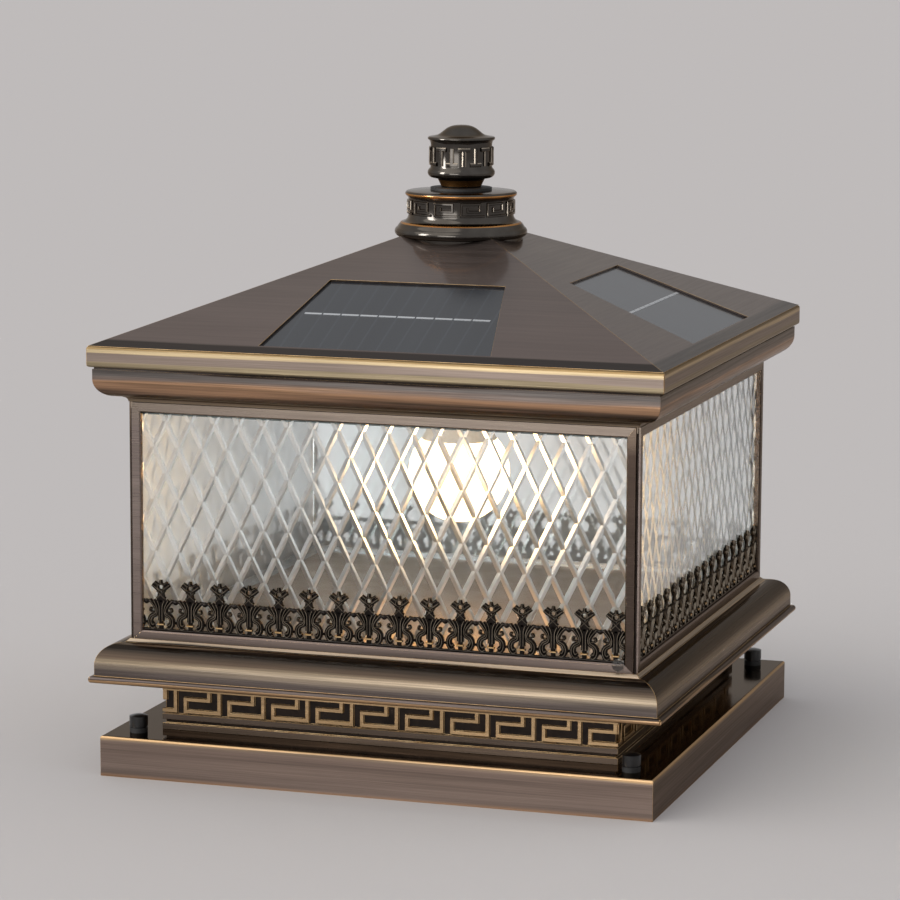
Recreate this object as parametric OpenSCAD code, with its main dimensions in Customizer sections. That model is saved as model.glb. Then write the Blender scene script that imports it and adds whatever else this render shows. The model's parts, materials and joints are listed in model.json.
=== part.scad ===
/* [Base] */
// Setback of the lamp chamber's face behind the base tray's edge
base_over = 12.3; // [11:0.1:30]
// Height of the base tray
base_h = 21.5; // [19:0.5:30]
// Sheet thickness of the base tray
tray_t = 1.5; // [1:0.1:2.5]
// Radius of the base tray's folded top edges
tray_edge_r = 1.2; // [0.6:0.1:1.5]
// Side of the opening in the tray's top, under the neck
tray_opening = 190; // [120:5:210]

/* [Mounting] */
// Thickness of the mounting plate inside the base tray
plate_t = 3; // [2:0.5:5]
// Gap between the mounting plate and the tray's walls
plate_gap = 5.5; // [3:0.5:7]
// Spacing of the four anchor holes, centre to centre
anchor_spacing = 200; // [160:5:220]
// Diameter of the anchor holes
anchor_d = 9; // [7:0.5:11]
// Diameter of the cable opening in the mounting plate
cable_d = 60; // [30:5:90]
// Distance of the fixing studs from the tray's edges
stud_inset = 15.5; // [13:0.5:18]
// Diameter of the fixing studs
stud_d = 6; // [5:0.5:7]
// Clearance round a stud in the tray and the washers
stud_clear = 0.5; // [0.3:0.1:0.6]
// Diameter of the rubber washers under the cap nuts
washer_d = 9.5; // [9:0.5:10]
// Height of the rubber washers
washer_h = 2.6; // [1.5:0.1:4]
// Diameter of the cap nuts
nut_d = 9.8; // [9.2:0.2:10.4]
// Height of a cap nut's cylindrical head
nut_h = 5.2; // [4:0.2:8]
// Height of the narrow collar under a cap nut's head
nut_collar_h = 0.8; // [0.4:0.1:1.5]
// Setback of the collar inside the head
nut_collar_in = 0.8; // [0.4:0.1:1.2]
// Height of the dome on a cap nut
nut_dome = 0.9; // [0.5:0.1:2]
// Thickness of a cap nut over its stud, below the dome
nut_crown = 1; // [0.6:0.1:1.6]
// Clearance over a stud's end inside its cap nut
nut_top_clear = 0.3; // [0.2:0.05:0.5]
// Clearance under a cap nut
nut_under_clear = 0.1; // [0.05:0.05:0.3]

/* [Neck] */
// Setback of the neck behind the lamp chamber's face
neck_inset = 12.8; // [10:0.1:20]
// Height of the neck between the tray and the skirt
neck_h = 28.9; // [28:0.1:40]
// Thickness of the neck's cast boards
board_t = 4; // [3:0.5:6]
// Depth of the key field and of the groove below it
key_depth = 1.5; // [0.8:0.1:2]
// Height of the lowest rail of the neck
foot_rail = 3.5; // [2:0.1:5]
// Height of the groove above the lowest rail
foot_groove = 2; // [1:0.1:3]
// Height of the rail under the key field
key_rail = 3.2; // [2:0.1:4]
// Height of the key field
key_field = 12.4; // [12:0.1:14]
// Number of keys along one side
key_count = 10; // [8:1:12]
// Width of the key's raised bars
key_bar = 1.9; // [1.4:0.1:2.2]
// Gap between the keys and the rail under them
key_lift = 0.7; // [0.4:0.1:1]
// Height from the key's lowest bar to its middle bar
key_middle = 6.5; // [5.5:0.1:7]
// Distance of the outermost hanging bar from the corner
key_end = 1.65; // [1.2:0.05:3]
// Distance from a hanging bar to the next rising bar
key_lead = 5.75; // [4.5:0.05:6.5]
// Distance from a rising bar to the next falling bar
key_step = 5.6; // [4.5:0.1:6.5]
// Side of the square posts inside the neck's corners
neck_post = 10; // [6:1:20]

/* [Skirt] */
// Overhang of the skirt's face past the lamp chamber
skirt_over = 14.5; // [13:0.1:25]
// Height of the skirt, from its underside to the chamber
skirt_h = 21.9; // [20:0.1:30]
// Radius of the skirt's rounded shoulder
skirt_r = 10.9; // [8:0.1:12]
// Height of the lip's bead along the skirt's lower edge
lip_h = 3.6; // [2.8:0.1:5]
// Overhang of the lip past the skirt's face
lip_over = 2.7; // [1:0.1:4]
// Height of the sloped bead where the chamber stands
bead_h = 1.8; // [1:0.1:3]
// Width of the sloped bead
bead_w = 2; // [1:0.1:3]
// Sheet thickness of the skirt
skirt_t = 1.5; // [1:0.1:2]
// Depth of the skirt's inner flanges, behind the chamber's face
skirt_flange = 19; // [18:0.5:25]
// Thickness of the chamber's floor pan
floor_t = 1.2; // [0.8:0.1:2]

/* [Lamp chamber] */
// Width of the lamp chamber across its glass frames
chamber_w = 275.4; // [265:0.1:310]
// Height of the lamp chamber's glass frames
chamber_h = 125.3; // [115:0.1:160]
// Sheet thickness of the glass frames
frame_t = 1.2; // [0.8:0.1:1.4]
// Setback of a frame's ends from the chamber's corners
frame_end = 2; // [1.5:0.1:2.5]
// Width of a frame's stiles
stile_w = 4.8; // [4.2:0.1:6]
// Height of a frame's bottom rail
bottom_rail = 4.6; // [3.8:0.1:8]
// Height of a frame's top rail
top_rail = 5.2; // [4.4:0.1:8]
// Depth of a frame's inner return, from the face to the glass
frame_depth = 3; // [2.5:0.1:3.4]
// Width of the bevel on a frame's inner edge
frame_bevel = 0.7; // [0.3:0.1:0.9]
// Side of the square corner posts
post_w = 4.2; // [3.4:0.1:4.2]
// Height of the ring that joins the posts at the top
ring_h = 3; // [2:0.5:5]
// Width of the ring
ring_w = 11.5; // [9:0.5:11.5]
// Depth of the angles that hold the glass at its foot and top
retainer_leg = 6; // [4:0.1:6.5]
// Height of the angles that hold the glass
retainer_h = 3.6; // [2.5:0.1:3.6]
// Thickness of the angles that hold the glass
retainer_t = 1.2; // [0.8:0.1:1.6]
// Clearance between the floor pan and the angles round it
pan_clear = 0.3; // [0.2:0.05:0.6]

/* [Glass] */
// Thickness of the glass
glass_t = 2.8; // [2.2:0.1:2.8]
// Gap above and below the glass
glass_seat = 0.2; // [0.1:0.05:0.4]
// Overlap of the glass behind the stiles
glass_lap = 0.7; // [0.4:0.1:0.9]
// Width of one diamond
diamond_w = 13.52; // [10:0.01:20]
// Height of one diamond
diamond_h = 27.52; // [20:0.01:40]
// Width of the V cuts between the diamonds
cut_w = 2.2; // [1.2:0.1:3]
// Depth of the V cuts
cut_depth = 0.8; // [0.4:0.1:1.2]
// Place of a crossing of the cuts, sideways from the middle
cut_x = 10.5; // [-20:0.1:20]
// Height of that crossing above the chamber's foot
cut_z = 46.9; // [30:0.1:60]

/* [Gallery] */
// Pitch of the gallery's scroll units
unit_w = 16.45; // [16:0.05:16.8]
// Distance from the window's left edge to the first unit's stem
unit_start = 10.1; // [2:0.1:14]
// Thickness of the pierced gallery
gallery_t = 1.7; // [1.2:0.1:1.8]
// Height of the band under the scrolls
band_h = 1.5; // [1:0.1:3]
// Clearance between the gallery and the glass
gallery_clear = 0.2; // [0.1:0.05:0.3]
// Clearance between the gallery's ends and the window's sides
gallery_end = 0.3; // [0.2:0.05:0.6]
// Radius of the beads on the flowers
flower_bead = 0.95; // [0.6:0.05:1.2]
// Height of the beads over the gallery's face
flower_rise = 0.5; // [0.2:0.1:0.8]

/* [Eave] */
// Overhang of the eave moulding past the lamp chamber
eave_over = 14; // [12:0.1:25]
// Height of the eave moulding, above its rounded underside
eave_h = 14.9; // [13:0.1:25]
// Radius of the eave moulding's rounded underside
eave_r = 9.7; // [7:0.1:11]
// Height of the drip lip below the moulding
drip_h = 3.2; // [2.4:0.1:5]
// Overhang of the drip lip past the lamp chamber
drip_over = 2; // [1.2:0.1:3]
// Radius of the hollow in the drip lip
drip_r = 2.6; // [1.5:0.1:3]
// Sheet thickness of the eave moulding and the fascia
eave_t = 1.5; // [1:0.1:2]
// Depth of the moulding's inner flanges, behind the chamber's face
eave_flange = 21; // [21:0.5:25]
// Height of the shadow gap under the fascia
reveal_h = 1.2; // [0.6:0.1:2.5]
// Height of the fascia
fascia_h = 10.8; // [8:0.1:20]
// Overhang of the fascia past the eave moulding
fascia_over = 2.3; // [1.5:0.1:5]
// Depth of the fascia's lower return
fascia_return = 8; // [6:0.5:12]
// Radius of the fascia's edges
fascia_r = 1.2; // [0.5:0.1:1.4]

/* [Roof] */
// Height of the roof's apex above the fascia
roof_rise = 59.7; // [50:0.1:90]
// Sheet thickness of the roof
roof_t = 1.2; // [0.8:0.1:2]
// Setback of the roof's edge behind the fascia
roof_inset = 0.6; // [0.3:0.1:1.2]

/* [Solar panels] */
// Distance from the eave up the slope to the panel window
solar_start = 9.2; // [7:0.1:20]
// Length of the panel window up the slope
solar_len = 75.4; // [50:0.1:85]
// Width of the panel window at its lower edge
solar_low_w = 124; // [90:1:140]
// Width of the panel window at its upper edge
solar_top_w = 96; // [50:1:100]
// Border of the panel that is glued behind the sheet
solar_border = 5; // [3:0.5:6]
// Thickness of a panel
solar_t = 3; // [2:0.1:4]
// Thickness of the glue between a panel and the roof
glue_t = 0.05; // [0.02:0.01:0.2]
// Clearance between a panel's lower edge and the fascia
panel_clear = 0.3; // [0.2:0.05:0.6]
// Number of cells across a panel
cell_count = 10; // [6:1:14]
// Distance up the slope to the collector ribbon
ribbon_at = 48.4; // [30:0.1:60]
// Width of the collector ribbon
ribbon_w = 1.6; // [0.8:0.1:2.5]
// Thickness of the collector ribbon
ribbon_t = 0.15; // [0.1:0.05:0.3]
// Gap in the ribbon between two cells
ribbon_gap = 0.8; // [0.4:0.1:1.5]
// Distance of the ribbon's ends from the window's sides
ribbon_end = 4; // [2:0.5:8]
// Width of the cleats that hold a panel
cleat_w = 10; // [6:0.5:14]
// Length of a cleat's two tongues
cleat_tongue = 6; // [4.5:0.5:8]
// Sheet thickness of the cleats
cleat_t = 1; // [0.6:0.1:1.5]
// Clearance between a panel's side and the cleats
cleat_clear = 1.5; // [1:0.1:2]
// Length of the junction box under a panel
junction_l = 18; // [12:0.5:30]
// Width of the junction box
junction_w = 14; // [8:0.5:20]
// Height of the junction box
junction_h = 5; // [3:0.5:8]

/* [Finial] */
// Radius of the collar's flange
flange_r = 35.9; // [34.9:0.1:40]
// Radius of the collar's foot, which is cut to the roof
foot_r = 33.6; // [30:0.1:33.6]
// Radius of the collar's key band
collar_r = 28.4; // [25:0.1:29]
// Height of the collar's key band
collar_band_h = 11.8; // [10:0.1:14]
// Radius of the collar's top disc
disc_r = 30.2; // [29.4:0.1:32]
// Depth of the collar's flange below the roof's apex
flange_drop = 8.5; // [7:0.1:10]
// Depth of the collar's foot below its flange
foot_drop = 14; // [12:0.5:20]
// Radius of the flange's rounded edge
flange_round = 2.8; // [2:0.1:3.2]
// Height of the flange and the small bead on it
flange_h = 6.1; // [5:0.1:8]
// Radius of the small bead on the flange
flange_bead = 1.7; // [1.2:0.1:2]
// Thickness of the collar's top disc with the cone on it
disc_h = 4.5; // [3.6:0.1:6]
// Radius of the rounded edge of the collar's top disc
disc_round = 1.3; // [0.8:0.1:1.6]
// Depth of the key relief on the finial
relief = 0.6; // [0.3:0.1:0.9]
// Number of spiral keys round the collar
spiral_count = 12; // [8:1:14]
// Width of the spiral keys' bars
spiral_bar = 1.3; // [0.9:0.1:1.5]
// Gap between two spiral keys
spiral_gap = 1.6; // [0.8:0.1:2.4]
// Width of the T keys' bars
tee_bar = 1.5; // [1:0.1:1.8]
// Gap between two pairs of T keys
tee_gap = 1.4; // [0.8:0.1:2]
// Radius of the rubber washer under the knob
knob_washer_r = 16.6; // [14:0.1:18]
// Thickness of the rubber washer under the knob
knob_washer_h = 1.3; // [0.5:0.1:2]
// Clearance under the turning knob
knob_clear = 0.3; // [0.2:0.05:0.5]
// Radius of the knob's key band
knob_r = 16.6; // [15:0.1:17]
// Radius of the knob's bead and rim
knob_bead_r = 18.2; // [17.6:0.1:20]
// Radius of the knob's neck
knob_neck_r = 10.7; // [8:0.1:12]
// Height of the knob's neck and the cone over it
knob_neck_h = 5.4; // [4:0.1:7]
// Radius of the knob's bead in its section
knob_bead = 2.8; // [2:0.1:3.2]
// Height of the knob's rim over the key band
rim_h = 3.2; // [2.6:0.1:4]
// Height of the knob's key band
knob_band_h = 14; // [12:0.1:18]
// Number of T keys round the knob
tee_count = 8; // [6:1:10]
// Height of the dome on the knob
dome_h = 6.1; // [4:0.1:9]
// Radius of the dome on the knob
dome_r = 11.8; // [10:0.1:14]
// Diameter of the finial's threaded rod
rod_d = 8; // [6:0.5:9]
// Length of the rod inside the knob
rod_in = 21; // [14:0.5:24]
// Length of the rod below the apex block
rod_below = 12; // [9:0.5:20]
// Clearance of the rod in the pieces that it holds together
rod_clear = 0.2; // [0.1:0.05:0.4]
// Height of the apex block, from its seat to the roof's apex
block_h = 17.7; // [12:0.1:24]
// Radius of the apex block
block_r = 18; // [14:0.5:22]
// Width of the lock nut across its corners
lock_nut_d = 15; // [13:0.5:18]
// Height of the lock nut
lock_nut_h = 6.5; // [5:0.5:8]
// Running clearance of the turning pieces on their pins
run_clear = 0.05; // [0.03:0.01:0.08]

/* [Lamp] */
// Radius of the bulb's globe
globe_r = 27.5; // [22:0.5:35]
// Length of the bulb from its globe's centre to its screw cap
bulb_neck = 27.7; // [24:0.1:36]
// Radius of the bulb's body where it meets the globe
bulb_body_r = 20.5; // [15:0.5:21]
// Radius of the bulb's body at its screw cap
bulb_cap_end = 15.5; // [14:0.5:17]
// Radius of the bulb's screw cap
cap_r = 13.2; // [12:0.1:14]
// Height of the bulb's screw cap
cap_h = 19.4; // [16:0.1:21]
// Height of the contact on the bulb's cap
tip_h = 1.8; // [1:0.1:3]
// Radius of the lamp holder
holder_r = 19.5; // [17:0.1:24]
// Height of the lamp holder
holder_h = 24; // [24:0.5:30]
// Radius of the lamp holder's flange
holder_flange_r = 25; // [23:0.5:30]
// Thickness of the lamp holder's flange
holder_flange_t = 3; // [2:0.5:5]
// Clearance between the bulb and the end of the lamp holder
bulb_clear = 0.4; // [0.3:0.1:0.8]

/* [Ceiling and electrics] */
// Thickness of the ceiling plate
ceiling_t = 1.5; // [1:0.1:2]
// Height of the ceiling plate's turned down edge
ceiling_lip = 7.6; // [4:0.1:12]
// Clearance between the ceiling's edge and the ring
ceiling_clear = 0.5; // [0.3:0.1:1]
// Clearance between the closed roof and the chamber
roof_clear = 0.3; // [0.2:0.05:0.5]
// Width of the foam gasket under the eave
gasket_w = 9; // [6:0.5:9]
// Length of a battery cell
cell_len = 65; // [60:0.5:70]
// Diameter of a battery cell
cell_d = 18.2; // [14:0.1:21]
// Wall of the battery box
box_t = 1.6; // [1.2:0.1:2.5]
// Clearance round the battery cells
cell_clear = 0.4; // [0.2:0.1:0.8]
// Distance of the battery box's middle from the axis
box_x = 62; // [58:1:68]
// Length of the control board
board_l = 70; // [50:1:76]
// Width of the control board
board_w = 50; // [44:1:60]
// Thickness of the control board
pcb_t = 1.6; // [1:0.1:2]
// Height of the posts under the control board
board_lift = 6; // [3:0.5:10]
// Distance of the board's middle from the axis
board_x = 58; // [56:1:62]
// Distance of the board's middle behind the axis
board_y = 30; // [28:1:36]
// Distance of the board's posts from its edges
post_inset = 4; // [3.2:0.1:6]
// Distance of the terminal block from the board's middle
terminal_at = 20; // [16:0.5:24]
// Width of the terminal block
terminal_w = 8; // [6:0.5:10]
// Length of the terminal block
terminal_l = 26; // [20:0.5:30]
// Height of the terminal block
terminal_h = 9; // [8:0.5:12]
// Diameter of the insulated leads
lead_d = 2; // [1.4:0.1:2.2]
// Clearance round the lamp's lead in the ceiling plate
lead_clear = 0.6; // [0.3:0.1:1]
// Distance of the lamp's lead behind the axis
lead_y = 8; // [6:0.5:12]
// Diameter of the power button
button_d = 10; // [8:0.5:12]
// Travel of the power button
button_travel = 2.5; // [1:0.1:2.8]
// Height of the button below the ceiling plate
button_out = 4; // [3:0.1:6]
// Radius of the switch housing
switch_r = 9; // [8:0.5:11]
// Height of the switch housing
switch_h = 14; // [12:0.5:18]
// Distance of the switch from the axis, in X and in Y
switch_at = 60; // [50:1:75]

/* [Fasteners] */
// Diameter of the screws' shanks
screw_d = 3; // [2.5:0.1:3.5]
// Diameter of the screws' heads
screw_head_d = 6; // [5:0.1:7]
// Height of the screws' heads
screw_head_h = 2; // [1.5:0.1:3]
// Clearance round a screw's shank
screw_clear = 0.2; // [0.1:0.05:0.4]
// Width across the corners of the clear stud on the front frame
clear_stud_d = 6.8; // [5:0.1:8]
// Height of the clear stud
clear_stud_h = 1.4; // [0.8:0.1:1.8]
// Distance of the clear stud's middle inside the window's side
clear_stud_in = 2.8; // [1:0.1:4]
// Distance of the clear stud's middle below the window's foot
clear_stud_low = 0.1; // [0:0.1:2]

/* [Hidden] */
$fn = 72;

// Half widths of the square rings, from the axis
chamber = chamber_w / 2;
base = chamber + base_over;
neck = chamber - neck_inset;
skirt = chamber + skirt_over;
eave = chamber + eave_over;
fascia_half = eave + fascia_over;
roof_edge = fascia_half - roof_inset;
frame_back = chamber - frame_t;
glass_face = chamber - frame_depth;
glass_back = glass_face - glass_t;
frame_half = chamber - frame_end;
window = frame_half - stile_w;
stud_at = base - stud_inset;

// Heights of the levels, from the floor up
skirt_z = base_h + neck_h;
chamber_z = skirt_z + skirt_h;
rail_z = chamber_z + bottom_rail;
window_top = chamber_z + chamber_h - top_rail;
chamber_top = chamber_z + chamber_h;
drip_z = chamber_top + roof_clear;
ceiling_z = drip_z + drip_h;
reveal_z = ceiling_z + eave_h;
fascia_z = reveal_z + reveal_h;
roof_z = fascia_z + fascia_h;
apex_z = roof_z + roof_rise;
lip_z = skirt_z + lip_h;
ceiling_under = ceiling_z - ceiling_t;

// The roof's slope
slope_angle = atan(roof_rise / fascia_half);
roof_drop = roof_t / cos(slope_angle);

// Long enough for every bar, tall enough for every cut
span = 2 * fascia_half;
tall = 2 * apex_z;
joint_gap = 0.07;
slice = 0.01;

bronze = [0.33, 0.28, 0.25];
brass_edge = [0.55, 0.47, 0.36];
black = [0.08, 0.08, 0.08];
zinc = [0.75, 0.76, 0.77];

// A quarter of a disc, in the quadrant that sx and sz name
module quarter(r, sx, sz) {
    intersection() {
        circle(r = r);
        translate([sx > 0 ? 0 : -r, sz > 0 ? 0 : -r]) square(r);
    }
}

// A rectangle from its lowest to its highest corner
module area(x0, y0, x1, y1) {
    translate([x0, y0]) square([x1 - x0, y1 - y0]);
}

// A bar along the front, from a profile of distance outwards and height
module front_bar() {
    rotate([90, 0, -90]) linear_extrude(height = span, center = true) children();
}

// The room of the front bar between its two mitres
module front_mitre() {
    linear_extrude(height = tall) polygon([
        [0, -joint_gap], [-span, -span - joint_gap], [span, -span - joint_gap]
    ]);
}

// Four mitred bars round the square
module mitred_ring() {
    for (k = [0:3]) rotate([0, 0, 90 * k]) intersection() {
        front_bar() children();
        front_mitre();
    }
}

// A solid whose section is the same seen from the front and from the side
module square_turn() {
    intersection() {
        rotate([90, 0, 0]) linear_extrude(height = span, center = true) children();
        rotate([90, 0, 90]) linear_extrude(height = span, center = true) children();
    }
}

// The same piece at each of the four corners
module at_corners(d) {
    for (x = [-d, d], y = [-d, d]) translate([x, y, 0]) children();
}

// Stands a flat drawing of x and height up in the front, its back at the given distance
module stand_front(distance, depth) {
    translate([0, -distance, 0]) rotate([90, 0, 0]) linear_extrude(height = depth) children();
}

// The frame of one roof face: x along the eave, y up the slope, z away from the roof
module on_slope(k) {
    rotate([0, 0, 90 * k]) translate([0, -fascia_half, roof_z]) rotate([slope_angle, 0, 0]) children();
}

module mounting_plate() {
    color(zinc) difference() {
        translate([0, 0, plate_t / 2]) cube([2 * plate_half, 2 * plate_half, plate_t], center = true);
        translate([0, 0, -1]) cylinder(d = cable_d, h = plate_t + 2);
        at_corners(anchor_spacing / 2) translate([0, 0, -1]) cylinder(d = anchor_d, h = plate_t + 2);
    }
}
plate_half = base - tray_t - plate_gap;

module fixing_studs() {
    color(zinc) at_corners(stud_at) translate([0, 0, plate_t]) cylinder(d = stud_d, h = stud_top - plate_t);
}
stud_top = base_h + washer_h + nut_collar_h + nut_h - nut_crown;

module base_tray() {
    color(bronze) difference() {
        square_turn() {
            area(-base, 0, base, base_h - tray_edge_r);
            area(-base + tray_edge_r, 0, base - tray_edge_r, base_h);
            for (s = [-1, 1]) translate([s * (base - tray_edge_r), base_h - tray_edge_r]) {
                quarter(tray_edge_r, s, 1);
            }
        }
        square_turn() area(-base + tray_t, -1, base - tray_t, base_h - tray_t);
        cube([tray_opening, tray_opening, 3 * base_h], center = true);
        at_corners(stud_at) cylinder(d = stud_d + 2 * stud_clear, h = 2 * base_h);
    }
}

module nut_washers() {
    color(black) at_corners(stud_at) translate([0, 0, base_h]) difference() {
        cylinder(d = washer_d, h = washer_h);
        translate([0, 0, -1]) cylinder(d = stud_d + 2 * stud_clear, h = washer_h + 2);
    }
}

// The section of the neck's boards: rails, groove and key field
module board_section() {
    groove_z = base_h + foot_rail;
    field_z = groove_z + foot_groove + key_rail;
    difference() {
        area(neck - board_t, base_h, neck, skirt_z);
        area(neck - key_depth, groove_z, neck + 1, groove_z + foot_groove);
        area(neck - key_depth, field_z, neck + 1, field_z + key_field);
    }
}

// The raised bars of the key along the front
module key_bars() {
    low = base_h + foot_rail + foot_groove + key_rail + key_lift;
    high = base_h + foot_rail + foot_groove + key_rail + key_field;
    middle = low + key_middle;
    pitch = (2 * neck - 2 * key_end) / key_count;
    half = key_bar / 2;
    for (k = [0:key_count]) {
        hang = -neck + key_end + pitch * k;
        area(hang - half, middle, hang + half, high);
        if (k < key_count) {
            rise = hang + key_lead;
            fall = rise + key_step;
            next = hang + pitch;
            area(rise - half, low, rise + half, high);
            area(fall - half, low, fall + half, middle + key_bar);
            area(fall - half, middle, next + half, middle + key_bar);
            area(fall - half, low, min(next + key_lead + half, neck), low + key_bar);
        }
    }
    area(-neck, low, -neck + key_end + key_lead + half, low + key_bar);
}

module neck_boards() {
    color(bronze) for (k = [0:3]) rotate([0, 0, 90 * k]) intersection() {
        union() {
            front_bar() board_section();
            stand_front(neck - key_depth - slice, key_depth + slice) key_bars();
        }
        front_mitre();
    }
}

module neck_posts() {
    at = neck - board_t - neck_post / 2;
    color(zinc) at_corners(at) translate([-neck_post / 2, -neck_post / 2, base_h]) {
        cube([neck_post, neck_post, neck_h]);
    }
}

module skirt_moulding() {
    inner = chamber - skirt_flange;
    shoulder = skirt - skirt_r;
    shoulder_z = chamber_z - bead_h - skirt_r;
    color(bronze) mitred_ring() difference() {
        union() {
            area(inner, skirt_z, shoulder, shoulder_z + skirt_r);
            area(shoulder, skirt_z, skirt, shoulder_z);
            translate([shoulder, shoulder_z]) quarter(skirt_r, 1, 1);
            area(skirt - lip_h, skirt_z, skirt + lip_over - lip_h / 2, lip_z);
            translate([skirt + lip_over - lip_h / 2, skirt_z + lip_h / 2]) circle(d = lip_h);
            polygon([
                [inner, chamber_z - bead_h], [chamber + bead_w, chamber_z - bead_h],
                [chamber, chamber_z], [inner, chamber_z]
            ]);
        }
        area(inner - 1, skirt_z + skirt_t, shoulder, shoulder_z + skirt_r - skirt_t);
        area(shoulder - 1, skirt_z + skirt_t, skirt - skirt_t, shoulder_z);
        translate([shoulder, shoulder_z]) quarter(skirt_r - skirt_t, 1, 1);
    }
}

module floor_pan() {
    half = glass_back - retainer_leg - pan_clear;
    color(bronze) translate([-half, -half, chamber_z]) cube([2 * half, 2 * half, floor_t]);
}

module corner_posts() {
    color(bronze) at_corners(frame_back - post_w / 2) translate([-post_w / 2, -post_w / 2, chamber_z]) {
        cube([post_w, post_w, chamber_h - ring_h]);
    }
}

module chamber_ring() {
    color(bronze) mitred_ring() area(frame_back - ring_w, chamber_top - ring_h, frame_back, chamber_top);
}

// Angles behind the foot and the top of each pane, hidden by the frame's rails
module glass_retainers() {
    top = chamber_top - ring_h;
    color(zinc) mitred_ring() {
        area(glass_back - retainer_leg, chamber_z, glass_back, chamber_z + retainer_t);
        area(glass_back - retainer_t, chamber_z, glass_back, chamber_z + retainer_h);
        area(glass_back - retainer_leg, top - retainer_t, glass_back, top);
        area(glass_back - retainer_t, top - retainer_h, glass_back, top);
    }
}
glass_h = chamber_h - ring_h - 2 * glass_seat;

// The four corners of a frame's outline, drawn in from its outside by side, bottom and top
function frame_corners(side, bottom, top) = [
    [-frame_half + side, chamber_z + bottom], [frame_half - side, chamber_z + bottom],
    [frame_half - side, chamber_top - top], [-frame_half + side, chamber_top - top]
];

// The flat drawing of one mitred bar of a frame, between its outer and inner outlines
module frame_bar(outer, inner, k) {
    a = outer[k];
    b = outer[(k + 1) % 4];
    along = (b - a) / norm(b - a) * joint_gap;
    polygon([a + along, b - along, inner[(k + 1) % 4] - along, inner[k] + along]);
}

module frame(k) {
    outer = frame_corners(0, 0, 0);
    inner = frame_corners(stile_w, bottom_rail, top_rail);
    lip = frame_corners(stile_w - frame_t, bottom_rail - frame_t, top_rail - frame_t);
    middle = (rail_z + window_top) / 2;
    reach = [window, (window_top - rail_z) / 2];
    color(bronze) rotate([0, 0, 90 * k]) for (side = [0:3]) difference() {
        union() {
            stand_front(frame_back, frame_t) frame_bar(outer, inner, side);
            stand_front(glass_face, frame_depth) frame_bar(lip, inner, side);
        }
        translate([0, -chamber, middle]) rotate([0, -90 * side, 0]) {
            translate([0, 0, -reach[1 - side % 2]]) rotate([45, 0, 0]) {
                cube([span, frame_bevel * sqrt(2), frame_bevel * sqrt(2)], center = true);
            }
        }
    }
}

module glass(k) {
    half = window + glass_lap;
    low = chamber_z + glass_seat;
    lean = atan(diamond_w / diamond_h);
    long = span;
    count = ceil((half + glass_h) / diamond_w) + 1;
    color([0.85, 0.88, 0.88, 0.5]) rotate([0, 0, 90 * k]) difference() {
        translate([-half, -glass_face, low]) cube([2 * half, glass_t, glass_h]);
        for (s = [-1, 1], i = [-count:count]) {
            translate([cut_x + i * diamond_w, -glass_face, chamber_z + cut_z]) rotate([0, s * lean, 0]) {
                linear_extrude(height = long, center = true) {
                    polygon([[-cut_w / 2, -slice], [cut_w / 2, -slice], [0, cut_depth]]);
                }
            }
        }
    }
}

// A stroke along part of a circle, from one angle to another, less than half a turn apart
module arc(x, y, r, w, from, to) {
    far = 2 * r;
    middle = (from + to) / 2;
    translate([x, y]) intersection() {
        difference() {
            circle(r = r + w / 2);
            circle(r = r - w / 2);
        }
        polygon([
            [0, 0], far * [cos(from), sin(from)], far * [cos(middle), sin(middle)], far * [cos(to), sin(to)]
        ]);
    }
}

// The scroll unit is drawn at this pitch, with its flower at this height, and scaled to the gallery's pitch
drawn_w = 16.45;
flower_z = 23.4;

// The right half of one scroll unit: foot scroll, side curl and three leaves of the fan
module half_unit() {
    arc(5.45, 3.9, 2.4, 1, -190, -70);
    arc(5.45, 3.9, 2.4, 1, -75, 50);
    translate([3.15, 4.4]) circle(r = 0.8);
    translate([4.35, 7.4]) rotate([0, 0, -52]) square([1.1, 6.6], center = true);
    translate([5.2, 10.7]) difference() {
        circle(r = 1.5);
        circle(r = 0.7);
    }
    translate([3, 9.9]) rotate([0, 0, -70]) square([0.9, 3.4], center = true);
    arc(9.1, 9.1, 7.8, 1, 105, 181);
    arc(10.3, 9.6, 9.4, 1, 128, 181);
    arc(16.4, 10.5, 15.8, 1, 155, 181);
    translate([drawn_w / 2, 15.8]) circle(r = 1.25);
}

// One unit of the gallery, its stem on the axis and its foot on the rail
module gallery_unit() {
    half_unit();
    mirror([1, 0]) half_unit();
    area(-0.95, 1, 0.95, 17);
    area(-2.1, 3.1, 2.1, 4.2);
    polygon([[-3, 16], [3, 16], [2.2, 21.4], [-2.2, 21.4]]);
    for (p = [[-2.5, 0], [2.5, 0], [0, 1.9], [0, -1.6]]) translate([p[0], flower_z + p[1]]) circle(r = 1.9);
    translate([0, flower_z]) circle(r = 1.4);
}

module gallery(k) {
    edge = window - gallery_end;
    first = -window + unit_start;
    last = floor((2 * window - unit_start) / unit_w);
    color([0.12, 0.1, 0.09]) rotate([0, 0, 90 * k]) {
        stand_front(glass_face + gallery_clear, gallery_t) intersection() {
            union() {
                area(-edge, rail_z, edge, rail_z + band_h);
                for (i = [-1:last + 1]) translate([first + i * unit_w, rail_z]) {
                    scale(unit_w / drawn_w) gallery_unit();
                }
            }
            area(-edge, rail_z, edge, rail_z + 2 * unit_w);
        }
        stand_front(glass_face + gallery_clear, gallery_t + flower_rise) {
            for (i = [0:last]) translate([first + i * unit_w, rail_z + flower_z * unit_w / drawn_w]) {
                circle(r = flower_bead);
            }
        }
    }
}

module clear_stud() {
    color([0.8, 0.82, 0.83]) translate([window - clear_stud_in, -chamber, rail_z - clear_stud_low]) rotate([90, 0, 0]) {
        cylinder(d = clear_stud_d, h = clear_stud_h, $fn = 8);
    }
}

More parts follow.
